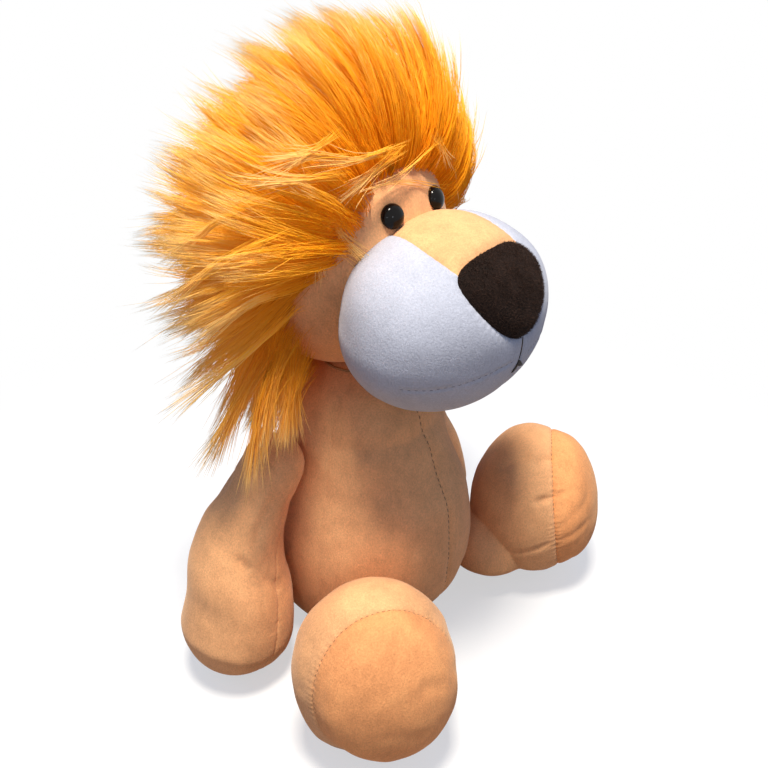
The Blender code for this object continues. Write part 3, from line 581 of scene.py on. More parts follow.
def crease(points, start, end, depth, width):
    """A soft fold along a line between two places, with a ridge at each side."""
    start, end = np.asarray(start) * MM, np.asarray(end) * MM
    along = end - start
    length = np.linalg.norm(along)
    away = points - start
    share = away @ along / length ** 2
    near = np.linalg.norm(away - np.clip(share, 0, 1)[:, None] * along, axis=1) / width
    fade = np.clip(1 - np.abs(share * 2 - 1) ** 3, 0, 1)
    return -depth * (1 - 0.8 * near ** 2) * np.exp(-near ** 2) * fade


# The limbs' folds: start and end in mm, depth and width in mm
FOLDS = {
    "left_leg": (((53, -46, 73), (64, -60, 81), 1.3, 3.2), ((60, -62, 79), (72, -70, 82), 1.1, 3.0),
                 ((47, -70, 66), (57, -76, 66), 1.5, 2.6), ((55, -76, 67), (66, -84, 69), 1.2, 2.4),
                 ((42, -62, 33), (52, -82, 43), 1.0, 2.4), ((54, -82, 50), (78, -86, 62), 0.7, 3.0),
                 ((54, -84, 42), (74, -90, 50), 0.7, 3.0)),
    "right_leg": (((-92, -60, 66), (-86, -54, 76), 0.7, 4.0), ((-60, -62, 84), (-46, -70, 82), 0.7, 3.5),
                  ((-88, -84, 44), (-74, -96, 34), 0.6, 5.0), ((-76, -92, 62), (-62, -98, 54), 0.6, 4.5),
                  ((-96, -76, 40), (-90, -62, 24), 0.8, 4.0)),
    "right_arm": (((-58, 5, 113), (-70, 4, 90), 0.9, 3.6), ((-64, 1, 96), (-74, 0, 72), 0.8, 3.4),
                  ((-80, 4, 78), (-76, 2, 68), 1.4, 3.4), ((-66, 8, 112), (-82, 12, 84), 0.6, 4.0),
                  ((-72, -2, 64), (-62, -6, 52), 0.7, 3.6)),
    "left_arm": (((58, 5, 113), (68, 4, 92), 0.9, 3.6), ((66, 1, 92), (74, 0, 74), 0.8, 3.4),
                 ((78, 4, 70), (82, 6, 60), 1.0, 3.6)),
}


def stuffed(points, seed, size=0.35 * MM):
    """The slight unevenness of loose filling."""
    return size * (lumps(points, 17 * MM, seed) + 0.45 * lumps(points, 7 * MM, seed + 1))


# Torso

TORSO_HALF_WIDTH = 44 * MM
TORSO_HALF_DEPTH = 53 * MM
NECK_DOME_RADIUS = 33 * MM
SIDE_SEAM_FORWARD = 10 * MM
# Each ring of the torso as shares: its height, half width, half depth and place backwards
TORSO_SHARES = (
    (0.00, 0.42, 0.40, 0.08), (0.012, 0.55, 0.53, 0.075), (0.045, 0.73, 0.71, 0.065),
    (0.12, 0.91, 0.89, 0.045), (0.24, 1.00, 1.00, 0.01), (0.42, 1.02, 1.03, -0.02),
    (0.58, 0.96, 1.00, -0.05), (0.73, 0.88, 0.94, -0.06),
    (0.85, 0.83, 0.83, -0.04), (0.94, 0.79, 0.72, -0.02),
)
TORSO_SQUARENESS = 2.25
CHEST_SWELL = 4.2 * MM
SEAT_DRAWN_IN = 3.5 * MM


def torso_skin():
    """The torso: a pear on a flat seat with a round top."""
    rows = [(0.0, 0.001 * MM, 0.001 * MM, 0.08 * TORSO_HALF_DEPTH)]
    rows += [(0.0, w * share * TORSO_HALF_WIDTH, d * share * TORSO_HALF_DEPTH, 0.08 * TORSO_HALF_DEPTH)
             for share, w, d in ((0.4, 0.42, 0.40), (0.8, 0.42, 0.40))]
    rows += [(h * NECK[2], w * TORSO_HALF_WIDTH, d * TORSO_HALF_DEPTH, lean * TORSO_HALF_DEPTH)
             for h, w, d, lean in TORSO_SHARES]
    for turn in np.linspace(0, math.pi / 2, 7)[:-1]:
        radius = NECK_DOME_RADIUS * math.cos(turn)
        rows.append((NECK[2] + NECK_DOME_RADIUS * math.sin(turn), radius, radius, 0))
    rows.append((NECK[2] + NECK_DOME_RADIUS, 0.001 * MM, 0.001 * MM, 0))
    fine = through(rows, 200)
    zero = np.zeros(len(fine))
    centres = np.stack([zero, fine[:, 3], np.maximum(fine[:, 0], 0)], axis=1)
    wide, deep = np.stack([fine[:, 1], zero, zero], axis=1), np.stack([zero, fine[:, 2], zero], axis=1)
    skin = loft_skin(centres, wide, deep, 240)
    # The filling rounds the sections towards a square between the seams
    x, y, z = skin.points.T
    around = np.stack([x, y - np.interp(z, fine[:, 0], fine[:, 3]), z * 0], axis=1)
    turn = np.arctan2(around[:, 1] / TORSO_HALF_DEPTH, around[:, 0] / TORSO_HALF_WIDTH)
    power = TORSO_SQUARENESS
    fuller = (np.abs(np.cos(turn)) ** power + np.abs(np.sin(turn)) ** power) ** (-1 / power)
    belly = smooth_step(z, 0, 35 * MM) * smooth_step(-z, -110 * MM, -70 * MM)
    return Skin(skin.points + around * ((fuller - 1) * belly)[:, None], skin.tris, skin.uvs)


def torso_seams(points):
    """Belly and side seams, and the pull of the limbs."""
    x, y, z = points.T
    front = smooth_step(-y, SIDE_SEAM_FORWARD, SIDE_SEAM_FORWARD + 4 * MM)
    low = smooth_step(z, 0.5 * MM, 7 * MM)
    way = np.arctan2(z - 60 * MM, -y) * 60 * MM
    rise = groove(x, 1.0 * MM, 0.9 * MM) * front
    rise += puckers(x, way, 0.12 * MM, 3.2 * MM, 3.5 * MM, 11) * front
    side = y + SIDE_SEAM_FORWARD
    around = np.arctan2(z - 60 * MM, np.abs(x)) * 55 * MM
    rise += groove(side, 0.2 * MM, 0.8 * MM) + puckers(side, around, 0.03 * MM, 3.4 * MM, 3.5 * MM, 12)
    rise += stuffed(points, 21)
    # Full under the chin, drawn in at the front between the legs
    ahead = smooth_step(-y, 6 * MM, 30 * MM)
    rise += CHEST_SWELL * np.exp(-((z - NECK[2]) / (15 * MM)) ** 2) * ahead
    seat = np.exp(-((z - 16 * MM) / (12 * MM)) ** 2) * ahead
    rise -= SEAT_DRAWN_IN * seat * smooth_step(-np.abs(x), -34 * MM, -16 * MM)
    for limb, near in (("arm", 13 * MM), ("leg", 21 * MM)):
        for side, _ in SIDES:
            apart = np.linalg.norm(points - JOINTS[f"{side}_{limb}_lift"], axis=1)
            rise -= 0.5 * MM * np.exp(-((apart - near) / (5 * MM)) ** 2)
    return rise * low


def build_torso():
    """The torso's three panels."""
    skin = torso_skin()
    folds = settle(skin, lambda points: np.exp(-(points[:, 0] / (2.5 * MM)) ** 2) * (points[:, 1] < 0),
                   lambda points: smooth_step(-points[:, 2], -8 * MM, -2 * MM)
                   + smooth_step(points[:, 2], NECK[2] - 2 * MM, NECK[2] + 6 * MM))

    def torso_relief(points):
        low = smooth_step(points[:, 2], 0.5 * MM, 7 * MM)
        return torso_seams(points) + folds(points) * 0.5 * low

    front, back = cut(skin, -skin.points[:, 1] - SIDE_SEAM_FORWARD)
    halves = cut(front, front.points[:, 0])
    for name, skin, hidden in (("torso_front_left", halves[0], []), ("torso_front_right", halves[1], []),
                               ("torso_back", back, ["torso_stuffing", "seat_pellet_bag"])):
        panel(name + "_panel", skin, torso_relief, TAN, "torso", [name] + hidden)
    belly, normals = seam_line(halves[0], lambda points: points[:, 0] + (points[:, 2] < 9 * MM),
                               lambda points: points[:, 2])
    sew("belly_stitches", belly, normals, torso_relief, SEAM_THREAD, "torso")


# Head

HEAD = NECK + np.array([0, 10, 83]) * MM
HEAD_RADII = np.array([48, 46, 56]) * MM
MANE_LEAN = math.radians(25)
MANE_BACKWARD = np.array([0, math.cos(MANE_LEAN), math.sin(MANE_LEAN)])
MANE_SEAM = HEAD - np.array([0, 16, 0]) * MM


def head_relief(points):
    """The face's own unevenness and the seam at the mane."""
    seam = (points - MANE_SEAM) @ MANE_BACKWARD
    return stuffed(points, 31) + groove(seam, 1.0 * MM, 1.5 * MM)


def build_head():
    """The face and the back of the head."""
    ball = ball_skin(64)
    skin = Skin(HEAD + ball.points * HEAD_RADII, ball.tris, ball.uvs)
    back, face = cut(skin, (skin.points - MANE_SEAM) @ MANE_BACKWARD)
    for name, part, nodes in (("face_panel", face, ["face_cover"]),
                              ("head_back_panel", back, ["head_back_cover", "head_stuffing"])):
        panel(name, part, head_relief, TAN, "head", nodes)


# Muzzle

MUZZLE = HEAD + np.array([0, -56.5, -20]) * MM
MUZZLE_RADII = np.array([49.5, 36.5, 35.5]) * MM
MUZZLE_TILT = math.radians(10)
MUZZLE_TURN = np.array([[1, 0, 0], [0, math.cos(MUZZLE_TILT), -math.sin(MUZZLE_TILT)],
                        [0, math.sin(MUZZLE_TILT), math.cos(MUZZLE_TILT)]])
NOSE_TOP = 31.2 * MM
NOSE_SWELL = 1.6 * MM
SNOUT_SWELL = 3.0 * MM
CHEEK_SWELL = 2.0 * MM
BRIDGE_SWELL = 0.5 * MM
MOUTH_LINE = ((5, -82.5, 174.5), (18, -80, 174), (31, -73, 172.5), (39, -67, 171.5), (45, -58, 172))
NOSE_SHARES = ((0.0, 0.0), (0.36, 0.015), (0.68, 0.06), (0.88, 0.12), (1.0, 0.20), (1.03, 0.31), (0.97, 0.47),
               (0.80, 0.66), (0.58, 0.82), (0.33, 0.94), (0.14, 0.99), (0.0, 1.0))
NOSE_HALF_WIDTH = 22 * MM
NOSE_HEIGHT = 28.8 * MM
BRIDGE_SHARES = ((-0.95, 0.0), (-0.92, 0.22), (-0.72, 0.46), (-0.30, 0.80), (0.10, 1.0), (0.50, 0.98),
                 (0.66, 0.84), (0.70, 0.0))
BRIDGE_HALF_WIDTH = 20 * MM


def to_outline(points, outline):
    """Gives each flat point's distance to a closed outline, above zero inside, and its way along it."""
    best = np.full(len(points), np.inf)
    place = np.zeros(len(points))
    inside = np.zeros(len(points), bool)
    way = 0.0
    for start, end in zip(outline, np.roll(outline, -1, axis=0)):
        along = end - start
        length = np.linalg.norm(along)
        away = points - start
        share = np.clip(away @ along / length ** 2, 0, 1)
        apart = np.linalg.norm(away - share[:, None] * along, axis=1)
        nearer = apart < best
        best = np.where(nearer, apart, best)
        place = np.where(nearer, way + share * length, place)
        crosses = (start[1] > points[:, 1]) != (end[1] > points[:, 1])
        with np.errstate(divide="ignore", invalid="ignore"):
            at = start[0] + (points[:, 1] - start[1]) / (end[1] - start[1]) * along[0]
        inside ^= crosses & (points[:, 0] < at)
        way += length
    return np.where(inside, best, -best), place


def mirrored(rows, count):
    """Draws half an outline through rows of places and closes it with its mirror image."""
    half = through(rows, count)
    return np.vstack([half, (half[1:-1] * (-1, 1))[::-1]])


# The outlines from the muzzle's centre: the nose panel from the front and the bridge panel from above
NOSE_LINE = mirrored([(x * NOSE_HALF_WIDTH, NOSE_TOP - z * NOSE_HEIGHT) for x, z in NOSE_SHARES], 40)
BRIDGE_LINE = mirrored([(w * BRIDGE_HALF_WIDTH, -f * MUZZLE_RADII[1]) for f, w in BRIDGE_SHARES], 48)
OFF_SEAM = -50 * MM


def muzzle_seams(points):
    """Gives the distances to the nose's and the bridge's seams, with the ways along them."""
    local = points - MUZZLE
    nose, nose_way = to_outline(local[:, [0, 2]], NOSE_LINE)
    nose = np.where(local[:, 1] < 0, nose, OFF_SEAM)
    bridge, bridge_way = to_outline(local[:, [0, 1]], BRIDGE_LINE)
    bridge = np.where(local[:, 2] > 0, bridge, OFF_SEAM)
    return nose, nose_way, bridge, bridge_way


def to_muzzle(points):
    """Turns places into the muzzle's own tilted frame."""
    return (points - MUZZLE) @ MUZZLE_TURN


def muzzle_relief(points):
    """Seams round the nose and the bridge, the chin's centre seam and the mouth's pull."""
    local = points - MUZZLE
    nose, nose_way, bridge, bridge_way = muzzle_seams(points)
    rise = groove(nose, 1.1 * MM, 0.9 * MM) + puckers(nose, nose_way, 0.10 * MM, 2.6 * MM, 2.4 * MM, 41)
    rise += NOSE_SWELL * smooth_step(nose, 0, 7 * MM)
    outside = smooth_step(-nose, 0, 1.5 * MM)
    # The filling pushes the snout's top and the cheeks up
    _, back, up = to_muzzle(points).T
    rise += 0.8 * MM + SNOUT_SWELL * smooth_step(up, 2 * MM, 27 * MM)
    rise += CHEEK_SWELL * smooth_step(back, -6 * MM, 16 * MM) * smooth_step(up, 0, 22 * MM)
    sewn = groove(bridge, 0.8 * MM, 0.8 * MM) + puckers(bridge, bridge_way, 0.08 * MM, 3.0 * MM, 2.4 * MM, 42)
    rise += sewn * outside
    rise += BRIDGE_SWELL * smooth_step(bridge, 0, 9 * MM) * outside
    under = smooth_step(-local[:, 2], -8 * MM, 0) * outside * smooth_step(-local[:, 1], 0, 5 * MM)
    rise += groove(local[:, 0], 0.7 * MM, 0.7 * MM) * under
    rise += stuffed(points, 43, 0.25 * MM)
    for side in (-1, 1):
        for start, end in zip(MOUTH_LINE, MOUTH_LINE[1:]):
            start, end = np.array(start) * (side, 1, 1), np.array(end) * (side, 1, 1)
            rise += crease(points, start, end, 0.45 * MM, 1.3 * MM)
        rise += crease(points, (side * 45, -51, 196), (side * 44, -50, 163), 0.45 * MM, 1.5 * MM)
    return rise


def muzzle_skin():
    """The muzzle's smooth ball."""
    ball = ball_skin(96)
    return Skin(MUZZLE + (ball.points * MUZZLE_RADII) @ MUZZLE_TURN.T, ball.tris, ball.uvs)


def nose_fuzz(skin):
    """Short velvety fibres over the nose."""
    random = np.random.default_rng(5)
    count, rings = 9000, 3
    spots, normals = scatter(random, skin, count)
    spots = spots + normals * (muzzle_relief(spots) - 0.15 * MM)[:, None]
    comb = np.stack([lumps(spots, 5 * MM, 301 + k) for k in range(3)], axis=1)
    lean = unit(normals + comb * 0.7 + random.normal(size=(count, 3)) * 0.35 - UP * 0.2)
    length = random.uniform(0.7, 1.5, count)[:, None] * MM
    way = np.linspace(0, 1, rings + 1)[:, None]
    paths = spots[:, None] + (normals * (1 - 0.3) + lean * 0.3)[:, None] * (length[:, None] * way)
    paths = paths + (lean - normals)[:, None] * (length[:, None] * 0.5 * way ** 2)
    widths = random.uniform(0.12, 0.2, count)[:, None] * MM * (1 - 0.7 * way[:, 0])[None]
    strands = strand_skin(paths, widths, comb + [0.3, 0.1, 0.2], random.uniform(0, 1, count))
    new_object("nose_fuzz", strands, NOSE_FIBRE, "head")


def build_muzzle():
    """White side panels, tan bridge and brown nose."""
    skin = muzzle_skin()
    nose, rest = cut(skin, muzzle_seams(skin.points)[0])
    bridge, rest = cut(rest, muzzle_seams(rest.points)[2])
    left, right = cut(rest, rest.points[:, 0])
    panel("nose_shield", nose, muzzle_relief, BROWN, "head", ["nose_panel"])
    nose_fuzz(nose)
    panel("bridge", bridge, muzzle_relief, TAN, "head", ["bridge_panel"])
    for name, part, nodes in (("muzzle_left", left, ["left_muzzle_panel"]),
                              ("muzzle_right", right, ["right_muzzle_panel", "muzzle_stuffing"])):
        panel(name, part, muzzle_relief, WHITE, "head", nodes)


# Arms

UPPER_ARM_RADIUS = 13 * MM
PAW_RADIUS = 26 * MM
PAW_OFFSET = np.array([27, 9, 0]) * MM
ARM_SWELL_SHARES = ((0.2, 0.18), (0.45, 0.54), (0.72, 0.90), (1.0, 1.0))
SEWN_CLOSE = 1.0 * MM
TIP = 0.001 * MM


def sewn_end(pivot, radius, fade):
    """Gives a weight that is 1 inside a limb's round sewn end and falls to 0 past it."""
    return lambda points: smooth_step(-np.linalg.norm(points - pivot, axis=1), -radius - fade, -radius)


def build_arm(side, sign):
    """An arm: inner and outer panels with a round end at the shoulder."""
    pivot = JOINTS[side + "_arm_lift"]
    paw = np.array([pivot[0] + sign * PAW_OFFSET[0], pivot[1] + PAW_OFFSET[1], PAW_RADIUS + 0.3 * MM])
    length = np.linalg.norm(paw - pivot)
    along = unit(paw - pivot)
    across = unit(np.array([sign, 0, 0]) - along * (along[0] * sign))
    depth = np.cross(along, across)
    rings = [(-UPPER_ARM_RADIUS, TIP)]
    rings += [(-UPPER_ARM_RADIUS * math.cos(a), UPPER_ARM_RADIUS * math.sin(a))
              for a in np.linspace(0.3, 1.57, 5)]
    rings += [(way * length, UPPER_ARM_RADIUS + growth * (PAW_RADIUS - UPPER_ARM_RADIUS))
              for way, growth in ARM_SWELL_SHARES]
    rings += [(length + PAW_RADIUS * math.sin(a), PAW_RADIUS * math.cos(a)) for a in np.linspace(0.3, 1.4, 5)]
    rings += [(length + PAW_RADIUS, TIP)]
    fine = through(rings, 150)
    way, radius = fine[:, 0], np.maximum(fine[:, 1], 0)
    # The round end swells until it meets the torso, about its own centre so that it still turns there
    radius = radius * (1 + SEWN_CLOSE / UPPER_ARM_RADIUS * smooth_step(-way, -14 * MM, 0))
    way = np.where(way < 0, way * (1 + SEWN_CLOSE / UPPER_ARM_RADIUS), way)
    share = np.clip(way / length, 0, 1)[:, None]
    shift = np.array([-sign * 2.0, -3.0, 1.0]) * MM * share
    bow = np.array([sign * 4.5, 5.0, 0]) * MM * np.sin(math.pi * share ** 0.8) ** 1.5
    centres = pivot + way[:, None] * along + shift + bow
    skin = loft_skin(centres, radius[:, None] * across, radius[:, None] * depth, 144)
    folds = settle(skin, lambda points: np.exp(-(((points - pivot) @ across) / (2.5 * MM)) ** 2) * 0.6,
                   sewn_end(pivot, UPPER_ARM_RADIUS, 5 * MM), 1.0 * MM, 9 * MM)

    def relief(points):
        away = points - pivot
        seam = away @ across
        run = away @ along
        shown = smooth_step(run, 2 * MM, 12 * MM)
        rise = groove(seam, 0.5 * MM, 0.8 * MM) + puckers(seam, run, 0.08 * MM, 3.1 * MM, 3 * MM, 51)
        rise *= shown
        rise += (folds(points) * 0.6 + stuffed(points, 52 + sign, 0.4 * MM)) * smooth_step(run, 0, 14 * MM)
        for start, end, sunk, width in FOLDS[side + "_arm"]:
            rise += crease(points, start, end, sunk * MM, width * MM)
        turn = np.arctan2(away @ depth, away @ across)
        gather = np.cos(turn * 9 + 1.5 * np.sin(turn * 2)) * np.exp(-((run - 14 * MM) / (9 * MM)) ** 2)
        return rise + 0.45 * MM * gather * smooth_step(run, 6 * MM, 12 * MM)

    outer, inner = cut(skin, (skin.points - pivot) @ across)
    body = side + "_arm"
    for name, part, hidden in ((body + "_outer", outer, []), (body + "_inner", inner, [body + "_stuffing"])):
        panel(name, part, relief, TAN, body, [name + "_cover"] + hidden)


# Legs

HIP_RADIUS = 19 * MM
FOOT_OFFSETS = {"right": np.array([-16, -18]) * MM, "left": np.array([27, -11]) * MM}
FOOT_RADII = np.array([35.5, 34, 42.5]) * MM
FOOT_YAW = math.radians(30)
SOLE_TILT = math.radians(8)
SOLE_SETBACK = 12 * MM
FOOT_LEAN = 2.6 * MM
TOE_RISE = 3.5 * MM


def build_leg(side, sign):
    """A leg: one cover that narrows to a round end at the hip, and an oval sole."""
    pivot = JOINTS[side + "_leg_lift"]
    foot = np.array([*(pivot[:2] + FOOT_OFFSETS[side]), FOOT_RADII[2]])
    c, s = math.cos(sign * FOOT_YAW), math.sin(sign * FOOT_YAW)
    turn = np.array([[c, -s, 0], [s, c, 0], [0, 0, 1]])
    ball = ball_skin(72)
    outward = ball.points
    local = outward @ turn
    radius = 1 / np.linalg.norm(local / FOOT_RADII, axis=1)
    to_hip = pivot - foot
    reach = np.linalg.norm(to_hip)
    ahead = outward @ unit(to_hip)
    miss = reach * np.sqrt(np.maximum(1 - ahead ** 2, 0))
    sewn = HIP_RADIUS + SEWN_CLOSE
    out = reach * ahead + np.sqrt(np.maximum(sewn ** 2 - miss ** 2, 0))
    hip = np.where((ahead > 0) & (miss < sewn), out, 0)
    soft = 2.5 * MM
    radius = soft * np.log(np.exp(radius / soft) + np.exp(hip / soft))
    points = foot + outward * radius[:, None]
    beside = smooth_step((points - foot) @ unit(to_hip), 12 * MM, 32 * MM)
    under = np.maximum(pivot[2] - points[:, 2], 0)
    points[:, 2] += under * 0.5 * beside
    forward = turn @ np.array([0, -math.cos(SOLE_TILT), math.sin(SOLE_TILT)])
    level = unit(np.cross(forward, UP))
    above = np.cross(level, forward)
    # The foot leans outwards and its toe curves up from the floor
    height = (points[:, 2] - foot[2]) / FOOT_RADII[2]
    ahead = (points - foot) @ forward
    away_from_hip = smooth_step(-((points - foot) @ unit(to_hip)), -8 * MM, 8 * MM)
    points += level * (-sign * FOOT_LEAN * height * away_from_hip)[:, None]
    points[:, 2] += TOE_RISE * smooth_step(ahead, -2 * MM, 16 * MM) * smooth_step(-height, 0.25, 0.9)
    skin = Skin(points, ball.tris, ball.uvs)

    def off_sole(points):
        return (points - foot) @ forward - SOLE_SETBACK

    folds = settle(skin, lambda points: np.exp(-(off_sole(points) / (2.5 * MM)) ** 2),
                   sewn_end(pivot, HIP_RADIUS, 6 * MM))

    def relief(points):
        seam = off_sole(points)
        run = np.arctan2((points - foot) @ above, (points - foot) @ level) * 36 * MM
        rise = groove(seam, 0.9 * MM, 0.8 * MM) + puckers(seam, run, 0.14 * MM, 3.0 * MM, 3.0 * MM, 61)
        low = smooth_step(points[:, 2], 0.3 * MM, 6 * MM)
        for start, end, depth, width in FOLDS[side + "_leg"]:
            rise += crease(points, start, end, depth * MM, width * MM)
        return (rise + folds(points) * 0.6 + stuffed(points, 62 + sign, 0.45 * MM)) * low

    sole, cover = cut(skin, off_sole(skin.points))
    body = side + "_leg"
    panel(body + "_sole", sole, relief, SOLE, body, [side + "_sole"])
    panel(body + "_cover_panel", cover, relief, TAN, body,
          [body + "_cover", body + "_stuffing"])
    line, normals = seam_line(sole, lambda points: off_sole(points) + (points[:, 2] < 8 * MM),
                              lambda points: np.arctan2((points - foot) @ level, (points - foot) @ above))
    sew(side + "_sole_stitches", line, normals, relief, SOLE_THREAD, body, 1.5 * MM, 0.9 * MM, 0.4 * MM)


# Strands


def strand_skin(paths, widths, outward, tones, start=0.0, end=1.0):
    """Makes three-sided strands along paths, coloured from one share of the pile's ramp to another."""
    count, rings = paths.shape[:2]
    rings -= 1
    ahead = unit(np.gradient(paths, axis=1))
    side = unit(np.cross(ahead, outward[:, None]))
    rise = np.cross(side, ahead)
    turns = math.tau * np.arange(3) / 3
    around = side[:, :, None] * np.cos(turns)[:, None] + rise[:, :, None] * np.sin(turns)[:, None]
    walls = paths[:, :rings, None] + around[:, :rings] * (widths[:, :rings, None, None] / 2)
    points = np.concatenate([walls.reshape(count, rings * 3, 3), paths[:, rings:]], axis=1)
    faces, places = [], []
    for k in range(rings - 1):
        for j in range(3):
            after = (j + 1) % 3
            a, b, c, d = k * 3 + j, k * 3 + after, (k + 1) * 3 + after, (k + 1) * 3 + j
            faces += [(a, b, c), (a, c, d)]
            places += [(j, k, j + 1, k, j + 1, k + 1), (j, k, j + 1, k + 1, j, k + 1)]
    for j in range(3):
        faces.append(((rings - 1) * 3 + j, (rings - 1) * 3 + (j + 1) % 3, rings * 3))
        places.append((j, rings - 1, j + 1, rings - 1, j + 0.5, rings))
    faces = np.array(faces)
    places = np.array(places, float).reshape(-1, 3, 2)
    each = rings * 3 + 1
    tris = (faces[None] + (np.arange(count) * each)[:, None, None]).reshape(-1, 3)
    across = np.clip(tones[:, None, None] + (places[None, :, :, 0] / 3 - 0.5) * 0.03, 0.002, 0.998)
    up = start + (end - start) * places[None, :, :, 1] / rings
    uvs = np.stack([across, np.clip(up * np.ones_like(across), 0.002, 0.998)], axis=3)
    return Skin(points.reshape(-1, 3), tris, uvs.reshape(-1, 3, 2), ())


def tapering(random, low, high, count, way):
    """Widths of hairs that narrow towards their tips."""
    return random.uniform(low, high, count)[:, None] * MM * (1 - 0.70 * way ** 1.6)


SEAM_UP = np.array([0, -math.sin(MANE_LEAN), math.cos(MANE_LEAN)])
# Two egg shapes, each a centre, radii, a fullness, a taper and a lean: the CAD solid, where the mane is
# dense, and the tips' outline, which is wider at the low sides
DENSE = (HEAD + np.array([0, 1, 4]) * MM, np.array([78, 49.5, 77]) * MM, 2.15, 0.03, 0.06)
TIPS = (HEAD + np.array([0, 2, 6]) * MM, np.array([86, 50, 82]) * MM, 2.3, 0.14, 0.12)


def fullness(points, egg):
    """How far out in an egg shape a place is: 1 on its skin."""
    centre, radii, power, taper, lean = egg
    local = (points - centre) / radii
    z = local[..., 2]
    x = local[..., 0] / (1 - taper * z)
    y = local[..., 1] + lean * z
    return (np.abs(x) ** power + np.abs(y) ** power + np.abs(z) ** power) ** (1 / power)


HAIR_FORWARD = 8 * MM
TUFT_ANGLES = (-180, -110, -70, -40, -26, -17, -6, 5, 14, 24, 34, 60, 110, 180)
TUFT_GAINS = (0, 0, 1, -2, 3, -5, 6, 2, -5, 4, -2, 0, 0, 0)
LOWEST_TIP = 112 * MM


def around_face(angle):
    """The direction in the mane's front plane at an angle from its top, positive to the lion's left."""
    return np.sin(angle)[:, None] * np.array([1.0, 0, 0]) + np.cos(angle)[:, None] * SEAM_UP


def mane_roots(random, count):
    """Places on the head behind the mane's seam, closer together near the face.

    Gives them with their angle round the face and their way back, from 0 at the seam to 1.
    """
    found = []
    while sum(len(part) for part in found) < count:
        outward = unit(random.normal(size=(count * 4, 3)))
        points = HEAD + outward * HEAD_RADII
        local = points - MANE_SEAM
        behind = local @ MANE_BACKWARD
        angle = np.arctan2(local[:, 0], local @ SEAM_UP)
        edge = -1.5 * MM - HAIR_FORWARD * np.exp(-((np.abs(angle) - 1.05) / 0.45) ** 2)
        from_axis = np.hypot(points[:, 0] - NECK[0], points[:, 1] - NECK[1])
        clear = (from_axis > 24 * MM) | (points[:, 2] > HEAD[2])
        dense = 2.4 * np.exp(-np.maximum(behind - edge, 0) / (9 * MM)) + 0.9
        dense += 0.7 * smooth_step(behind, 20 * MM, 45 * MM)
        dense += 0.5 * smooth_step(np.abs(angle), 1.6, 2.4)
        keep = (behind > edge) & clear & (random.uniform(size=len(points)) * 2 < dense)
        found.append(np.hstack([points, angle[:, None], behind[:, None] / (62 * MM)])[keep])
    found = np.vstack(found)[:count]
    return found[:, :3], found[:, 3], np.clip(found[:, 4], -0.2, 1)


def mane_rim(start, ahead):
    """How far a line runs from its start until it leaves the mane."""
    near, far = np.zeros(len(ahead)), np.full(len(ahead), 160 * MM)
    for _ in range(18):
        mid = (near + far) / 2
        inside = fullness(start + ahead * mid[:, None], TIPS) < 1
        near, far = np.where(inside, mid, near), np.where(inside, far, mid)
    return near


